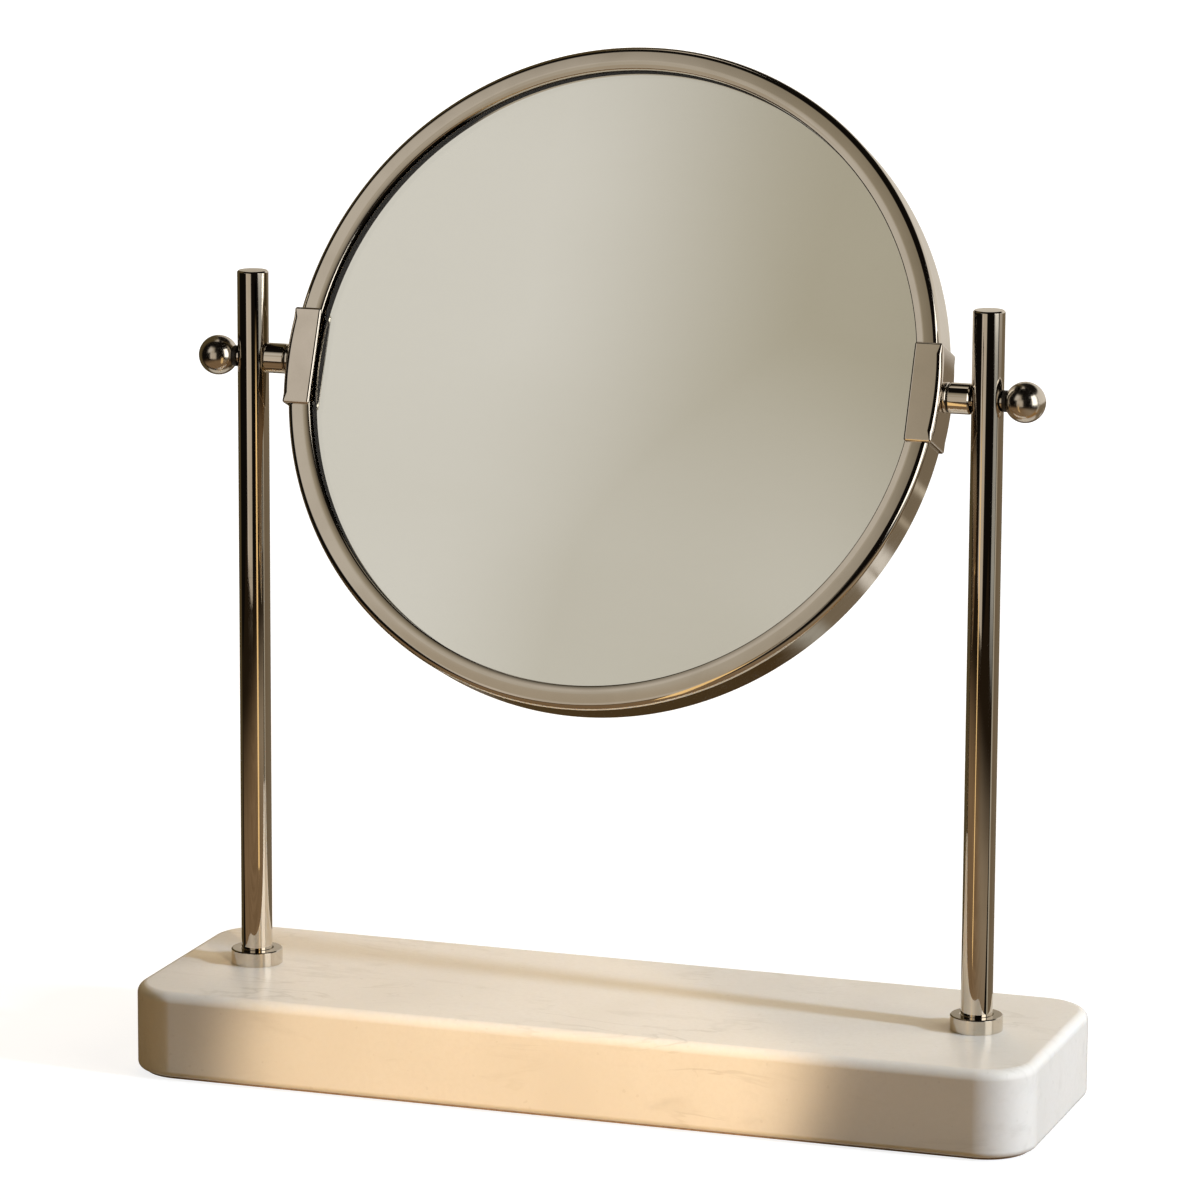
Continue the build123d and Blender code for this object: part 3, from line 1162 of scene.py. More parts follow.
@dataclass
class FootFixings:
    """The cap screws and washers under the slab."""

    screw_radius: float = 3.0 * MM
    head_radius: float = 5.0 * MM
    head_height: float = 6.0 * MM
    head_round: float = 0.5 * MM
    socket_radius: float = 2.887 * MM
    socket_depth: float = 3.0 * MM
    socket_sides: int = 6
    washer_bore: float = 3.5 * MM
    washer_radius: float = 9.0 * MM
    spring_bore: float = 3.05 * MM
    spring_radius: float = 5.5 * MM
    slit: float = 1.2 * MM
    edge: float = 0.25 * MM
    edge_steps: int = 3
    cut_overrun: float = 1.0 * MM
    segments: int = 64

    def screw_mesh(self) -> Mesh:
        """Turn a cap screw, head down, and sink its hex socket.

        Returns:
            The mesh.
        """
        low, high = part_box("post_screws")
        top = low.z + self.head_height
        profile = rounded([
            (0, low.z, 0), (self.head_radius, low.z, self.head_round), (self.head_radius, top, self.edge),
            (self.screw_radius, top, 0), (self.screw_radius, high.z, self.edge), (0, high.z, 0)], False)
        socket = cutting_rod(self.socket_radius, low.z - self.cut_overrun, low.z + self.socket_depth,
                             sides=self.socket_sides)
        return smooth_faces(carved(turned("screw", profile, segments=self.segments), socket))

    def washer_mesh(self, node: str, bore: float, radius: float) -> Mesh:
        """Turn a washer with broken edges.

        Args:
            node: the washers' CAD node, which gives the height.
            bore: its inner radius.
            radius: its outer radius.

        Returns:
            The mesh.
        """
        low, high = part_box(node)
        section = ring_section(bore, radius, low.z, high.z, self.edge, bore_edge=self.edge)
        return turned("washer", rounded(section, True, self.edge_steps), None, True, self.segments)

    def spring_mesh(self) -> Mesh:
        """Turn the spring washer and cut its slit.

        Returns:
            The mesh.
        """
        low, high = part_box("lock_washers")
        saw = cutting_block((2 * self.spring_radius, self.slit, 2 * (high.z - low.z)),
                            (self.spring_radius, 0, (low.z + high.z) / 2))
        return smooth_faces(carved(self.washer_mesh("lock_washers", self.spring_bore, self.spring_radius), saw))

    def build(self, steel: Material) -> None:
        """Build each fixing once, repeat it under both posts and dress it.

        Args:
            steel: finish of all of them.
        """
        tree = post_pair_tree()
        inputs = {"Start": (-POST_OFFSET, 0, 0), "Spacing": (2 * POST_OFFSET, 0, 0), "Material": steel}
        washer = self.washer_mesh("flat_washers", self.washer_bore, self.washer_radius)
        for name, mesh, node in (("foot_cap_screws", self.screw_mesh(), "post_screws"),
                                 ("foot_flat_washers", washer, "flat_washers"),
                                 ("foot_spring_washers", self.spring_mesh(), "lock_washers")):
            show(name, tree.grow(mesh, inputs), [steel], Body.STAND, Slot.FIXINGS, node)


@dataclass
class MirrorHead:
    """The rim, the silvered glass, the board and the back plate with its screws."""

    lean_degrees: float = 22.4
    rim_radius: float = 127.49 * MM
    lip_radius: float = 118.5 * MM
    bore_radius: float = 121.5 * MM
    rebate_radius: float = 126.0 * MM
    rim_front: float = -6.6 * MM
    rim_back: float = 10.8 * MM
    rim_steps: int = 320
    slope_start: float = 121.8 * MM
    slope_radius: float = 15.0 * MM
    slope_steps: int = 8
    round_steps: int = 8
    face_round: float = 2.6 * MM
    outer_drop: float = 0.12 * MM
    lip_round: float = 0.6 * MM
    back_round: float = 0.4 * MM
    glass_front: float = -4.3 * MM
    glass_back: float = -0.3 * MM
    glass_radius: float = 121.2 * MM
    glass_chamfer: float = 0.5 * MM
    glass_gap: float = 0.05 * MM
    board_gap: float = 0.15 * MM
    board_edge: float = 0.2 * MM
    plate_front: float = 9.4 * MM
    plate_back: float = 10.6 * MM
    plate_radius: float = 125.9 * MM
    plate_edge: float = 0.15 * MM
    disc_edge_steps: int = 3
    screw_count: int = 6
    screw_seed: int = 4
    screw_circle: float = 123.75 * MM
    screw_radius: float = 1.0 * MM
    screw_head_radius: float = 1.8 * MM
    screw_length: float = 5.0 * MM
    screw_rise: float = 0.12 * MM
    dome_step: int = 15
    recess_width: float = 0.5 * MM
    recess_depth: float = 0.45 * MM
    recess_span: float = 2.1 * MM
    disc_segments: int = 192
    screw_segments: int = 40
    facing_share: float = 0.9
    place: Matrix = field(init=False)

    def __post_init__(self) -> None:
        """Work out the place of the leaning head, with the depth axis as Z."""
        lean = Matrix.Rotation(math.radians(-self.lean_degrees - 90), 4, "X")
        self.place = Matrix.Translation((0, 0, PIVOT_HEIGHT)) @ lean

    def rim_section(self) -> Profile:
        """Give the rim's section: flat face that slopes to the lip, broad outer round, glass seat and rebate.

        Returns:
            Radius and depth of its points.
        """
        middle = (self.slope_start, self.rim_front + self.slope_radius)
        sweep = math.degrees(math.asin((self.slope_start - self.lip_radius) / self.slope_radius))
        face = [(r, d, 0.0) for r, d in arc(middle, self.slope_radius, -90 - sweep, -90, self.slope_steps)]
        face[0] = (*face[0][:2], self.lip_round)
        face.append((self.rim_radius, self.rim_front + self.outer_drop, self.face_round))
        walls = [
            (self.rim_radius, self.rim_back, self.back_round), (self.rebate_radius, self.rim_back, self.back_round),
            (self.rebate_radius, self.plate_front, 0.0), (self.bore_radius, self.plate_front, 0.0),
            (self.bore_radius, self.glass_front, 0.0), (self.lip_radius, self.glass_front, 0.0)]
        return rounded(face + walls, True, self.round_steps)

    def rim_mesh(self, nickel: Material) -> Mesh:
        """Sweep the rim's section round its circle.

        Args:
            nickel: the rim's finish.

        Returns:
            The mesh.
        """
        section = bmesh.new()
        points = [section.verts.new((r - self.rim_radius, -d, 0)) for r, d in self.rim_section()]
        for one, two in zip(points, points[1:] + points[:1]):
            section.edges.new((one, two))
        line = bpy.data.meshes.new("rim_section")
        section.to_mesh(line)
        section.free()
        ring = swept_ring_tree().grow(line, {
            "Ring radius": self.rim_radius, "Steps": self.rim_steps, "Material": nickel})
        form = bmesh.new()
        form.from_mesh(ring)
        return smooth_faces(from_bmesh("rim", form, self.place))

    def glass_mesh(self) -> Mesh:
        """Turn the glass and mark its back for the silver.

        Returns:
            The mesh.
        """
        front = self.glass_front + self.glass_gap
        section = ring_section(0, self.glass_radius, front, self.glass_back, 0, self.glass_chamfer)
        mesh = turned("glass", rounded(section, False), self.place, segments=self.disc_segments)
        behind = self.place.to_3x3() @ Vector((0, 0, 1))
        for face in mesh.polygons:
            face.material_index = int(face.normal.dot(behind) > self.facing_share)
        return mesh

    def disc_mesh(self, radius: float, front: float, back: float, edge: float) -> Mesh:
        """Turn a disc with broken edges."""
        profile = rounded(ring_section(0, radius, front, back, edge), False, self.disc_edge_steps)
        return turned("disc", profile, self.place, segments=self.disc_segments)

    def screw_mesh(self) -> Mesh:
        """Turn a countersunk screw with a low raised head and cut its cross recess.

        Returns:
            The mesh.
        """
        top, head, shank = self.plate_back, self.screw_head_radius, self.screw_radius
        dome = [(head * math.cos(math.radians(a)), top + self.screw_rise * math.sin(math.radians(a)))
                for a in range(0, 91, self.dome_step)]
        profile = [(0, top - self.screw_length), (shank, top - self.screw_length), (shank, top - head + shank), *dome]
        profile[-1] = (0.0, profile[-1][1])
        screw = turned("screw", profile, segments=self.screw_segments)
        for spin in (0.0, math.pi / 2):
            size = (self.recess_span, self.recess_width, 2 * self.recess_depth)
            screw = carved(screw, cutting_block(size, (0, 0, top), Matrix.Rotation(spin, 4, "Z")))
        return smooth_faces(screw)

    def screws_mesh(self, steel: Material) -> Mesh:
        """Set the screws round the back plate, clear of the saddles.

        Args:
            steel: the screws' finish.

        Returns:
            The mesh.
        """
        ring = screw_circle_tree().grow(self.screw_mesh(), {
            "Count": self.screw_count, "Circle radius": self.screw_circle, "Seed": self.screw_seed,
            "Material": steel})
        ring.transform(self.place @ Matrix.Rotation(math.pi / self.screw_count, 4, "Z"))
        return ring

    def build(self, nickel: Material, glass: Material, silver: Material, board: Material, satin: Material,
              steel: Material) -> None:
        """Build and dress the head's pieces.

        Args:
            nickel: finish of the rim.
            glass: finish of the glass.
            silver: finish of the glass's back.
            board: finish of the board.
            satin: finish of the back plate.
            steel: finish of its screws.
        """
        board_front = self.glass_back + self.board_gap
        board_mesh = self.disc_mesh(self.glass_radius, board_front, self.plate_front, self.board_edge)
        plate_mesh = self.disc_mesh(self.plate_radius, self.plate_front, self.plate_back, self.plate_edge)
        show("turned_rim", self.rim_mesh(nickel), [nickel], Body.HEAD, Slot.NICKEL, "rim")
        show("silvered_glass", self.glass_mesh(), [glass, silver], Body.HEAD, Slot.MIRROR, "mirror_glass")
        show("packing_board", board_mesh, [board], Body.HEAD, Slot.BOARD, "backing_board")
        show("closing_plate", plate_mesh, [satin], Body.HEAD, Slot.BACK, "back_plate")
        show("closing_plate_screws", self.screws_mesh(steel), [steel], Body.HEAD, Slot.FIXINGS, "back_plate_screws")


@dataclass
class SaddlePair:
    """The U plates that wrap the rim at the pivots: square ends, a straight inner edge, an outer edge like the rim."""

    head: MirrorHead
    chord: float = 37.5 * MM
    thickness: float = 1.4 * MM
    gap: float = 0.05 * MM
    shoulder_round: float = 2.4 * MM
    edge_round: float = 0.91 * MM
    corner_round: float = 0.95 * MM
    room_round: float = 1.56 * MM
    room_segments: int = 512
    bow_steps: int = 48
    ease_steps: int = 4
    edge_angle_step: int = 9
    on_bow: float = 1e-6

    def outline(self) -> list[tuple[Vector, Vector, float]]:
        """Follow the outline as seen from the front.

        Returns:
            Each point, the way inwards there, and the round of its edge.
        """
        outer, half = self.head.rim_radius + self.gap + self.thickness, self.chord / 2
        reach = math.sqrt(self.head.lip_radius ** 2 - half ** 2)
        swing = math.degrees(math.asin(half / outer))
        bow = [(x, y, 0.0) for x, y in arc((0, 0), outer, -swing, swing, self.bow_steps)]
        bow[0], bow[-1] = (*bow[0][:2], self.corner_round), (*bow[-1][:2], self.corner_round)
        corners = [*bow, (reach, half, self.corner_round), (reach, -half, self.corner_round)]
        ring = [Vector(point) for point in rounded(corners, True)]
        points = []
        for index, point in enumerate(ring):
            ahead = (ring[(index + 1) % len(ring)] - ring[index - 1]).normalized()
            inward = Vector((-ahead.y, ahead.x))
            span = (half - abs(point.y)) / (2 * half / self.bow_steps) - 1
            share = min(1.0, max(0.0, span / self.ease_steps)) if point.length > outer - self.on_bow else 0.0
            points.append((point, inward, self.edge_round + (self.shoulder_round - self.edge_round) * share))
        return points

    def saddle_mesh(self, side: Side) -> Mesh:
        """Make a soft-edged block and cut the rim's room out of it.

        Args:
            side: the saddle's side.

        Returns:
            The mesh.
        """
        head, reach, points, turn = self.head, self.gap + self.thickness, self.outline(), self.edge_angle_step
        rows = []
        for depth, way, angles in ((head.rim_front - reach, 1, range(90, -1, -turn)),
                                   (head.rim_back + reach, -1, range(0, 91, turn))):
            for angle in (math.radians(a) for a in angles):
                inset, drop = 1 - math.cos(angle), way * (1 - math.sin(angle))
                rows.append([((p + n * r * inset).x, (p + n * r * inset).y, depth + r * drop) for p, n, r in points])
        low, high, radius = head.rim_front - self.gap, head.rim_back + self.gap, head.rim_radius + self.gap
        section = rounded([(0, low, 0), (radius, low, self.room_round), (radius, high, 0), (0, high, 0)], False)
        mesh = carved(stacked("saddle", rows), turned("room", section, segments=self.room_segments))
        mesh.transform(head.place @ Matrix.Rotation(0.0 if side is Side.RIGHT else math.pi, 4, "Z"))
        return smooth_faces(mesh)

    def build(self, nickel: Material) -> None:
        """Build and dress both saddles.

        Args:
            nickel: their finish.
        """
        for side in Side:
            word = side.word
            show(f"{word}_saddle", self.saddle_mesh(side), [nickel], Body.HEAD, Slot.NICKEL, f"{word}_bracket")


@dataclass
class PivotPair:
    """The studs, their friction washers, the spacers, and the ball knobs with their washers."""

    stud_start: float = 122.3 * MM
    flange_start: float = 128.95 * MM
    flange_end: float = 130.25 * MM
    flange_radius: float = 5.75 * MM
    flange_chamfer: float = 0.3 * MM
    journal_radius: float = 3.0 * MM
    thread_start: float = 151.0 * MM
    thread_overlap: float = 0.3 * MM
    stud_end: float = 159.65 * MM
    thread_radius: float = 2.5 * MM
    thread_depth: float = 0.43 * MM
    thread_pitch: float = 0.8 * MM
    thread_tip: float = 0.12
    ridge_top: float = 1.35
    ridge_slope: float = 3.2
    thread_around: int = 48
    thread_along: int = 140
    friction_end: float = 130.65 * MM
    friction_radius: float = 5.25 * MM
    spacer_start: float = 130.7 * MM
    spacer_end: float = 139.0 * MM
    spacer_radius: float = 5.75 * MM
    spacer_chamfer: float = 0.5 * MM
    washer_start: float = 151.1 * MM
    washer_end: float = 152.6 * MM
    washer_radius: float = 4.0 * MM
    ball_centre: float = 159.25 * MM
    ball_radius: float = 7.6 * MM
    ball_seat: float = 152.65 * MM
    ball_hole_depth: float = 8.0 * MM
    ball_steps: int = 72
    edge: float = 0.15 * MM
    edge_steps: int = 4
    running_gap: float = 0.05 * MM
    segments: int = 128

    def stud_mesh(self, side: Side) -> Mesh:
        """Turn a stud's tail, flange and journal, and wind the thread on its end.

        Args:
            side: the stud's side.

        Returns:
            The mesh.
        """
        cut, edge, tail = self.flange_chamfer, self.edge, self.thread_radius
        body = turned("stud", rounded([
            (0, self.stud_start, 0), (tail, self.stud_start, 0), (tail, self.flange_start, 0),
            (self.flange_radius - cut, self.flange_start, edge), (self.flange_radius, self.flange_start + cut, edge),
            (self.flange_radius, self.flange_end - cut, edge), (self.flange_radius - cut, self.flange_end, edge),
            (self.journal_radius, self.flange_end, 0), (self.journal_radius, self.thread_start, edge),
            (0, self.thread_start, 0)], False, self.edge_steps), side.outward())
        return joined("stud", [body, self.thread_mesh(side)])

    def thread_mesh(self, side: Side) -> Mesh:
        """Wind the right-handed thread that the ball runs on.

        Args:
            side: the stud's side.

        Returns:
            The mesh.
        """
        start, end = self.thread_start - self.thread_overlap, self.stud_end
        rows = []
        for step in range(self.thread_along + 1):
            height = start + (end - start) * step / self.thread_along
            taper = min(1.0, (end - height) / (2.0 * self.thread_depth) + self.thread_tip)
            row = []
            for angle in (math.tau * turn / self.thread_around for turn in range(self.thread_around)):
                phase = (height / self.thread_pitch - angle / math.tau) % 1.0
                ridge = min(1.0, max(0.0, self.ridge_top - abs(phase - 0.5) * self.ridge_slope))
                radius = self.thread_radius - self.thread_depth * (1.0 - ridge * taper)
                row.append((radius * math.cos(angle), radius * math.sin(angle), height))
            rows.append(row)
        mesh = stacked("thread", rows, side.outward())
        mesh.shade_smooth()
        return mesh

    def ring_mesh(self, side: Side, bore: float, radius: float, start: float, end: float) -> Mesh:
        """Turn a washer with broken edges between two places along the tilt axis."""
        section = ring_section(bore, radius, start, end, min(self.edge, (end - start) / 3))
        return turned("ring", rounded(section, True, self.edge_steps), side.outward(), True)

    def spacer_mesh(self, side: Side) -> Mesh:
        """Turn a spacer with chamfered ends.

        Args:
            side: the spacer's side.

        Returns:
            The mesh.
        """
        section = ring_section(self.journal_radius + self.running_gap, self.spacer_radius, self.spacer_start,
                               self.spacer_end, self.edge, self.spacer_chamfer)
        return turned("spacer", rounded(section, True, self.edge_steps), side.outward(), True, self.segments)

    def ball_mesh(self, side: Side) -> Mesh:
        """Turn a ball with its flat seat and the blind hole for the stud.

        Args:
            side: the ball's side.

        Returns:
            The mesh.
        """
        bore = self.thread_radius + self.running_gap
        seat = self.ball_seat - self.ball_centre
        first = math.degrees(math.asin(seat / self.ball_radius))
        ball = arc((0, self.ball_centre), self.ball_radius, first, 90, self.ball_steps)
        ball[-1] = (0.0, ball[-1][1])
        floor = self.ball_seat + self.ball_hole_depth
        profile = [(0, floor), (bore, floor), (bore, self.ball_seat), *ball]
        return turned("ball", profile, side.outward(), segments=self.segments)

    def build(self, nickel: Material, soft: Material, nylon: Material) -> None:
        """Build and dress both pivots and both knobs.

        Args:
            nickel: finish of studs and spacers.
            soft: finish of the balls.
            nylon: finish of the washers.
        """
        journal, thread = self.journal_radius + self.running_gap, self.thread_radius + self.running_gap
        for side in Side:
            word = side.word
            friction = self.ring_mesh(side, journal, self.friction_radius, self.flange_end, self.friction_end)
            neck = self.ring_mesh(side, thread, self.washer_radius, self.washer_start, self.washer_end)
            for name, mesh, finish, body, slot, node in (
                    ("threaded_stud", self.stud_mesh(side), nickel, Body.HEAD, Slot.NICKEL, "pivot_stud"),
                    ("friction_ring", friction, nylon, Body.HEAD, Slot.NYLON, "friction_washer"),
                    ("sleeve", self.spacer_mesh(side), nickel, Body.STAND, Slot.NICKEL, "spacer"),
                    ("neck_ring", neck, nylon, Body(f"{word}_washer"), Slot.NYLON, "knob_washer"),
                    ("ball", self.ball_mesh(side), soft, Body(f"{word}_ball"), Slot.NICKEL, "knob")):
                show(f"{word}_{name}", mesh, [finish], body, slot, f"{word}_{node}")


# Stage

def way(around: float, rise: float) -> Vector:
    """Give a direction from its degrees round from the front to the right, and its degrees above the horizon."""
    turn, lift = math.radians(around), math.radians(rise)
    return Vector((math.sin(turn) * math.cos(lift), -math.cos(turn) * math.cos(lift), math.sin(lift)))


def stage_piece(name: str, form: BMesh, *unseen_by: Ray) -> ShaderBench:
    """Stand a piece of the stage with an empty material.

    Args:
        name: the piece's name.
        form: its form, which is freed.
        unseen_by: the rays that it is hidden from.

    Returns:
        The bench of its material.
    """
    piece = stand(name, from_bmesh(name, form))
    material, bench = new_material(name)
    piece.data.materials.append(material)
    hide(piece, *unseen_by)
    piece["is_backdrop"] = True
    return bench


@dataclass(frozen=True)
class Patch:
    """One soft-edged patch of colour on the wall of the mirrored room."""

    name: str
    across: Pair
    rise: Pair
    soft: float
    colour: Colour

    def mask(self, bench: ShaderBench, around: Wire, rise: Wire) -> Wire:
        """Give 1 on the patch and 0 off it."""
        return bench.band(around, *self.across, self.soft) * bench.band(rise, *self.rise, self.soft)


@dataclass(frozen=True)
class MirroredRoom:
    """The painted reflections that only polished metal and the mirror see: a glowing room of walls, a pale panel, a
    window and a wooden top, which lights nothing.
    """

    radius: float = 3.0
    centre: Point = (0.0, 0.0, 0.27)
    wall: tuple[Colour, Colour] = ((0.60, 0.53, 0.43), (0.86, 0.82, 0.76))
    foot: tuple[Colour, Colour] = ((0.15, 0.12, 0.09), (0.22, 0.17, 0.115))
    left_to_right: Pair = (-1.8, 1.8)
    foot_to_wall: Pair = (-10.0, -4.0)
    dark_front: Colour = (0.006, 0.005, 0.004)
    front_half: Pair = (-93.0, 93.0)
    panel_areas: tuple[tuple[Pair, Pair], ...] = (((-31.0, 4.0), (-26.0, 19.0)), ((-50.0, -7.0), (15.0, 46.0)))
    side_soft: float = 3.0
    level_soft: float = 4.0
    panel: tuple[Colour, Colour] = ((0.74, 0.655, 0.565), (0.675, 0.635, 0.575))
    panel_fade: Pair = (-5.0, 24.0)
    dusk: Colour = (0.425, 0.378, 0.292)
    dusk_around: Pair = (-25.0, -17.9)
    dusk_rise: Pair = (30.0, 35.5)
    dusk_least: float = 0.42
    cloud_scale: float = 4.5
    cloud_share: float = 0.24
    corner: Colour = (0.22, 0.185, 0.135)
    corner_around: Pair = (-18.0, -8.0)
    corner_rise: Pair = (24.0, 34.0)
    top: Colour = (0.24, 0.205, 0.155)
    top_rise: Pair = (36.0, 44.0)
    top_share: float = 0.6
    shade: Colour = (0.50, 0.435, 0.345)
    shade_around: Pair = (-29.0, -25.0)
    shade_rise: Pair = (18.0, 26.2)
    shade_soft: float = 0.8
    # painted reflections; the window is a painted highlight, brighter than white
    front_patches: tuple[Patch, ...] = (
        Patch("wooden top", (-48, 110), (-91, -27), 4.0, (0.34, 0.195, 0.075)),
        Patch("pale curtain", (89, 99), (-40, -9), 1.5, (0.52, 0.48, 0.40)),
        Patch("window sill", (62, 86), (-13, -6), 1.5, (0.42, 0.42, 0.40)),
        Patch("window", (56, 86), (-7, 38), 1.5, (2.4, 2.35, 2.25)))
    # painted reflections and painted shade of the room behind
    back_patches: tuple[Patch, ...] = (
        Patch("dim back wall", (-34, -7), (10.8, 20), 0.9, (0.31, 0.27, 0.205)),
        Patch("dark shelf", (9, 60), (-60, -5.5), 1.2, (0.225, 0.178, 0.122)),
        Patch("shelf edge", (10, 40), (-20.2, -19.2), 0.5, (0.62, 0.55, 0.44)),
        Patch("shelf edge", (10, 40), (-24.6, -23.9), 0.4, (0.50, 0.43, 0.33)),
        Patch("white cloth", (14, 34), (-33.2, -28.2), 0.9, (0.84, 0.80, 0.74)),
        Patch("cloth's shade", (14, 34), (-31.4, -30.9), 0.3, (0.30, 0.25, 0.18)),
        Patch("silver tray", (12.5, 16.5), (-60, -38.3), 1.0, (0.42, 0.40, 0.35)),
        Patch("dark cupboard", (-60, 11.5), (-60, -22), 2.5, (0.075, 0.046, 0.019)),
        Patch("dark left wall", (-120, -27), (-91, 70), 5.0, (0.10, 0.075, 0.036)),
        Patch("dark ceiling", (-30, 130), (36, 100), 4.0, (0.010, 0.008, 0.006)),
        Patch("pale floor", (-100, 100), (-100, -50), 3.0, (0.66, 0.61, 0.54)))

    def panel_colour(self, bench: ShaderBench, spot: Wire, around: Wire, rise: Wire) -> Wire:
        """Paint the reflection of the pale panel that the glass and the front faces show, with its painted dusk and
        painted shades.

        Args:
            bench: the room's tree.
            spot: point on the room's wall.
            around: degrees round from the front to the right.
            rise: degrees above the horizon.

        Returns:
            The colour's wire.
        """
        colour = bench.mix(bench.ease(rise, *self.panel_fade), *self.panel)
        cloud = bench.noise(spot, self.cloud_scale, detail=1.0, rough=0.4)
        dusk = bench.ease(around, *self.dusk_around).at_most(bench.ease(rise, *self.dusk_rise, self.dusk_least, 1.0))
        dusk = dusk + cloud * self.cloud_share - self.cloud_share / 2
        colour = bench.mix(dusk.at_least(0.0), colour, self.dusk)
        corner = bench.ease(around, *self.corner_around) * bench.ease(rise, *self.corner_rise)
        colour = bench.mix(corner, colour, self.corner)
        colour = bench.mix(bench.ease(rise, *self.top_rise) * self.top_share, colour, self.top)
        shade = bench.band(rise, *self.shade_rise, self.shade_soft) * bench.ease(around, *self.shade_around)
        return bench.mix(shade, colour, self.shade)

    def build(self) -> None:
        """Hang the room round the object and paint its walls, which appear only as painted reflections in the metal
        and the mirror.
        """
        form = bmesh.new()
        bmesh.ops.create_uvsphere(form, u_segments=96, v_segments=48, radius=self.radius,
                                  matrix=Matrix.Translation(self.centre))
        bench = stage_piece("mirrored_room", form, Ray.CAMERA, Ray.DIFFUSE, Ray.SHADOW, Ray.SCATTER)
        spot = bench.place(shift=self.centre)
        across, deep, up = bench.axes(spot)
        around, behind = across.angle_from(0.0 - deep), across.angle_from(deep)
        rise = up.angle_from(bench.reach(across, deep))
        side = bench.ease(across, *self.left_to_right)
        foot, wall = bench.mix(side, *self.foot), bench.mix(side, *self.wall)
        colour = bench.mix(bench.ease(rise, *self.foot_to_wall), foot, wall)
        for patch in self.back_patches:
            colour = bench.mix(patch.mask(bench, behind, rise), colour, patch.colour)
        colour = bench.mix(bench.band(around, *self.front_half, self.side_soft), colour, self.dark_front)
        low, high = (bench.band(around, *sides, self.side_soft) * bench.band(rise, *levels, self.level_soft)
                     for sides, levels in self.panel_areas)
        colour = bench.mix(low.at_least(high), colour, self.panel_colour(bench, spot, around, rise))
        for patch in self.front_patches:
            colour = bench.mix(patch.mask(bench, around, rise), colour, patch.colour)
        bench.finish(bench.glow(colour))


@dataclass(frozen=True)
class Foreground:
    """Painted reflections in front of the slab, which only polished metal sees and which light nothing: a glowing
    wooden top and a glowing strip that paints a warm glint.
    """

    unseen_by: tuple[Ray, ...] = (Ray.CAMERA, Ray.DIFFUSE, Ray.SHADOW, Ray.TRANSMISSION, Ray.SCATTER)
    strip_centre: Pair = (0.05, -0.23)
    strip_along: Pair = (0.020, 0.017)
    strip_heights: Pair = (0.0, 0.26)
    strip_fade: Pair = (0.19, 0.25)
    sunlight: Colour = (1.25, 0.86, 0.40)
    black: Colour = (0.0, 0.0, 0.0)
    top_reach: float = 0.9
    top_back: float = -0.06
    top_height: float = -0.4 * MM
    wood: tuple[Colour, Colour] = ((0.28, 0.185, 0.105), (0.21, 0.135, 0.072))
    grain_stretch: Point = (1.0, 9.0, 1.0)
    grain_scale: float = 6.0
    pale_wood: Colour = (0.36, 0.30, 0.225)
    pale_from: Pair = (0.05, 0.40)
    pale_share: float = 0.7
    dark_wood: Colour = (0.02, 0.013, 0.007)
    dark_from: Pair = (0.42, 0.80)

    def glint_strip(self) -> None:
        """Stand the glowing strip that paints a warm glint line on the polished metal, and fade its upper end."""
        form = bmesh.new()
        centre, along = Vector(self.strip_centre), Vector(self.strip_along)
        corners = [(centre + along * side, height) for height in self.strip_heights for side in (-1, 1)]
        low_left, low_right, high_left, high_right = (form.verts.new((*spot, height)) for spot, height in corners)
        form.faces.new((low_left, low_right, high_right, high_left))
        bench = stage_piece("glint_strip", form, *self.unseen_by)
        _, _, up = bench.axes(bench.place())
        # painted glint: a warm glow brighter than white, seen only in polished metal
        bench.finish(bench.glow(bench.mix(bench.ease(up, *self.strip_fade), self.sunlight, self.black)))

    def wood_reflection_card(self) -> None:
        """Lay the glowing wooden top that paints a brown reflection low in the metal, with painted light paler to the
        right and painted shade darker far out.
        """
        form = bmesh.new()
        reach, back = self.top_reach, self.top_back
        corners = ((-reach, -reach), (reach, -reach), (reach, back), (-reach, back))
        form.faces.new([form.verts.new((x, y, self.top_height)) for x, y in corners])
        bench = stage_piece("wood_reflection_card", form, *self.unseen_by)
        across, deep, _ = bench.axes(bench.place())
        grain = bench.noise(bench.place(scale=self.grain_stretch), self.grain_scale, detail=3.0)
        wood = bench.mix(bench.ease(grain, 0.3, 0.7), *self.wood)
        # painted light: the wood paler to the right; painted shade: darker far out
        wood = bench.mix(bench.ease(across, *self.pale_from) * self.pale_share, wood, self.pale_wood)
        far = bench.ease(bench.reach(across, deep), *self.dark_from)
        bench.finish(bench.glow(bench.mix(far, wood, self.dark_wood)))


@dataclass(frozen=True)
class Lamp:
    """A lamp, placed by its direction and distance from the point that it faces."""

    name: str
    watts: float
    colour: Colour
    around: float
    rise: float
    distance: float
    aim: Point

    def light(self) -> Light:
        """Make the light."""
        raise NotImplementedError

    def hang(self) -> None:
        """Hang the lamp, which lights the object but doesn't show in the metal."""
        light, out = self.light(), way(self.around, self.rise)
        light.energy, light.color = self.watts, self.colour
        lamp = stand(self.name, light)
        lamp.location = Vector(self.aim) + out * self.distance
        lamp.rotation_mode = "QUATERNION"
        lamp.rotation_quaternion = (-out).to_track_quat("-Z", "Y")
        hide(lamp, Ray.GLOSSY, Ray.CAMERA, Ray.TRANSMISSION)


@dataclass(frozen=True)
class AreaLamp(Lamp):
    """A lamp with a flat pane of light."""

    size: Pair

    def light(self) -> Light:
        """Make the light.

        Returns:
            The light.
        """
        light = bpy.data.lights.new(self.name, "AREA")
        light.shape, light.size, light.size_y = "RECTANGLE", *self.size
        return light


@dataclass(frozen=True)
class SpotLamp(Lamp):
    """A lamp with a narrow cone of light."""

    cone_degrees: float = 3.86
    cone_blend: float = 0.53
    bulb: float = 0.010

    def light(self) -> Light:
        """Make the light.

        Returns:
            The light.
        """
        light = bpy.data.lights.new(self.name, "SPOT")
        light.spot_size, light.spot_blend = math.radians(self.cone_degrees), self.cone_blend
        light.shadow_soft_size = self.bulb
        return light


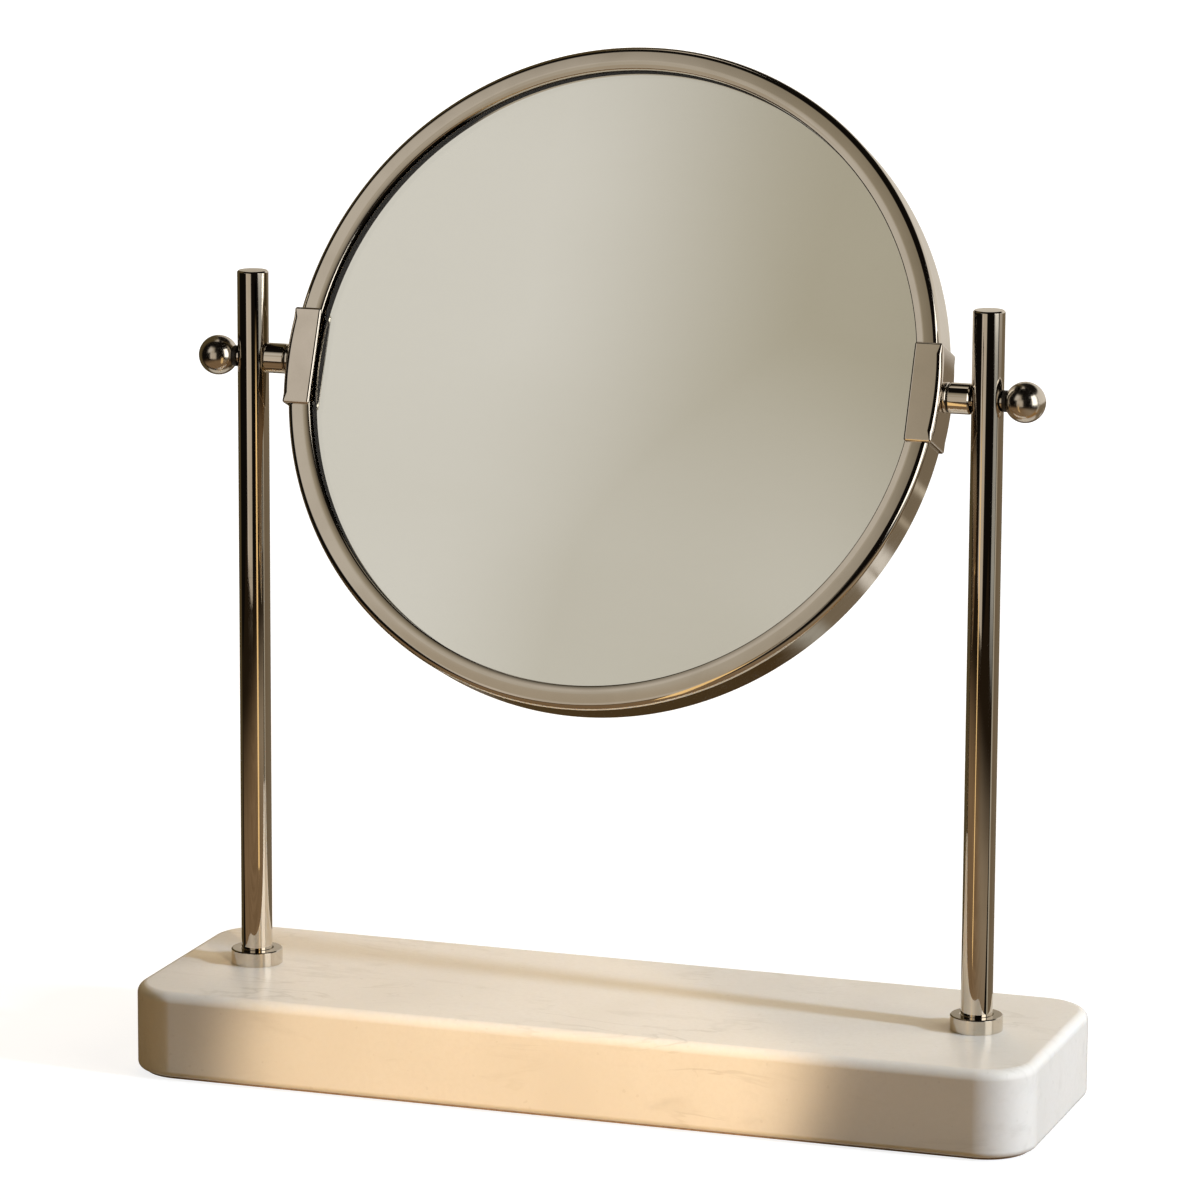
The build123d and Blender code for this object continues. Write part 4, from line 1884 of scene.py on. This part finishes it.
@dataclass(frozen=True)
class Studio:
    """The camera, the world, the pale floor, the lamps and what the metal mirrors."""

    azimuth: float = 18.687
    elevation: float = 11.310
    roll: float = 0.302
    distance: float = 2237.48 * MM
    target: Point = (-4.666 * MM, 0.0, 187.91 * MM)
    lens: float = 177.85
    sensor_width: float = 36.0
    far_clip: float = 100.0
    white: Colour = (1.0, 1.0, 1.0)
    fill: Colour = (1.0, 0.77, 0.43)
    fill_strength: float = 0.16
    floor_radius: float = 40.0
    floor_height: float = -0.2 * MM
    floor_bounce: Colour = (0.36, 0.24, 0.125)
    floor_shade: Colour = (0.30, 0.30, 0.30)
    floor_near: float = 0.2
    floor_far: float = 1.4
    floor_pale: Pair = (0.84, 0.99)
    lamps: tuple[Lamp, ...] = (
        AreaLamp("window_light", 238.0, (0.61, 0.77, 1.0), 84.0, 22.0, 5.0, (0.0, 0.0, 0.10), (0.36, 0.45)),
        AreaLamp("window_glow", 146.0, (1.0, 0.915, 0.765), 89.0, 44.0, 5.0, (0.0, 0.0, 0.10), (4.0, 3.0)),
        SpotLamp("low_warm_light", 415.0, (1.0, 0.75, 0.48), 41.0, 12.0, 3.0, (-0.015, -0.056, 0.020)),
        AreaLamp("warm_glow", 2.3, (1.0, 0.62, 0.24), -160.0, 40.0, 0.9, (-0.10, 0.0, 0.03), (0.5, 0.5)),
        AreaLamp("back_light", 150.0, (1.0, 0.97, 0.93), -160.0, 4.0, 5.0, (0.0, 0.0, 0.10), (3.0, 0.8)))

    def camera(self) -> None:
        """Set the camera at the photograph's angle."""
        back = way(self.azimuth, self.elevation)
        turn, tip = math.radians(self.azimuth), math.radians(self.roll)
        level = Vector((math.cos(turn), math.sin(turn), 0))
        upright = back.cross(level)
        right = level * math.cos(tip) + upright * math.sin(tip)
        up = upright * math.cos(tip) - level * math.sin(tip)
        data = bpy.data.cameras.new("camera")
        data.lens, data.sensor_width, data.clip_end = self.lens, self.sensor_width, self.far_clip
        camera = stand("camera", data)
        axes = Matrix((right, up, back)).transposed().to_4x4()
        camera.matrix_world = Matrix.Translation(Vector(self.target) + back * self.distance) @ axes
        bpy.context.scene.camera = camera

    def world(self) -> None:
        """Show white to the camera and the metal, and light the rest with a plain fill."""
        world = bpy.data.worlds.new("studio_white")
        world.use_nodes = True
        bpy.context.scene.world = world
        bench = ShaderBench(world.node_tree)
        white = bench.add("ShaderNodeBackground", None, {"Color": self.white, "Strength": 1.0})
        fill = bench.add("ShaderNodeBackground", None, {"Color": self.fill, "Strength": self.fill_strength})
        bench.add("ShaderNodeOutputWorld", None, {"Surface": bench.choose(bench.shows_background(), fill, white)})

    def floor(self) -> None:
        """Lay the white floor, which keeps the object's shadow."""
        form = bmesh.new()
        bmesh.ops.create_circle(form, cap_ends=True, segments=96, radius=self.floor_radius,
                                matrix=Matrix.Translation((0, 0, self.floor_height)))
        bench = stage_piece("white_floor", form, Ray.GLOSSY, Ray.TRANSMISSION)
        across, deep, _ = bench.axes(bench.place())
        pale = bench.ease(bench.reach(across, deep), self.floor_near, self.floor_far, *self.floor_pale)
        white = bench.add("ShaderNodeCombineColor", None, {0: pale, 1: pale, 2: pale})
        plain = bench.add("ShaderNodeBsdfDiffuse", None, {"Color": self.floor_bounce})
        shaded = bench.add("ShaderNodeBsdfDiffuse", None, {"Color": self.floor_shade})
        shown = bench.add("ShaderNodeAddShader", None, {0: shaded, 1: bench.glow(white)})
        bench.finish(bench.choose(bench.shows_background(), plain, shown))

    def build(self) -> None:
        """Set up the whole studio."""
        bpy.context.scene.view_settings.view_transform = "Standard"
        self.camera()
        self.world()
        self.floor()
        MirroredRoom().build()
        foreground = Foreground()
        foreground.glint_strip()
        foreground.wood_reflection_card()
        for lamp in self.lamps:
            lamp.hang()


def main() -> None:
    """Build the sub-assemblies in order, set up the studio and keep both boxes."""
    logging.basicConfig(level=logging.INFO, format="%(name)s: %(message)s")
    head = MirrorHead()
    nickel = PolishedNickel("polished_nickel").make()
    buffed_nickel = PolishedNickel("buffed_nickel", gloss=0.06, haze=0.08, wave=0.05).make()
    pale_nickel = PolishedNickel("pale_nickel", tint=(0.72, 0.655, 0.58), shade=(0.66, 0.60, 0.525),
                                 gloss=0.07, haze=0.07, wave=0.05).make()
    soft_nickel = PolishedNickel("soft_nickel", gloss=0.17, haze=0.10, wave=0.06).make()
    spun_nickel = SpunNickel("spun_nickel", tuple(head.place.translation), math.radians(head.lean_degrees)).make()
    steel = PlatedSteel("plated_steel").make()
    glass_centre = tuple(head.place @ Vector((0, 0, head.glass_back)))
    silver = SilverFilm("silver_film", glass_centre, head.glass_radius).make()
    glass = ClearGlass("clear_glass").make()
    board = Fibreboard("fibreboard").make()
    StoneBase().build(HonedMarble("honed_marble").make(), BrownFelt("brown_felt").make())
    PostPair().build(nickel)
    FootFixings().build(steel)
    head.build(buffed_nickel, glass, silver, board, spun_nickel, steel)
    SaddlePair(head).build(pale_nickel)
    PivotPair().build(nickel, soft_nickel, BlackNylon("black_nylon").make())
    Studio().build()
    sizes = {"cad": CAD_BOX, "visual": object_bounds()}
    for name, (low, high) in sizes.items():
        log.info("%s box: %s", name, [round((b - a) / MM, 2) for a, b in zip(low, high)])


if __name__ == "__main__":
    main()
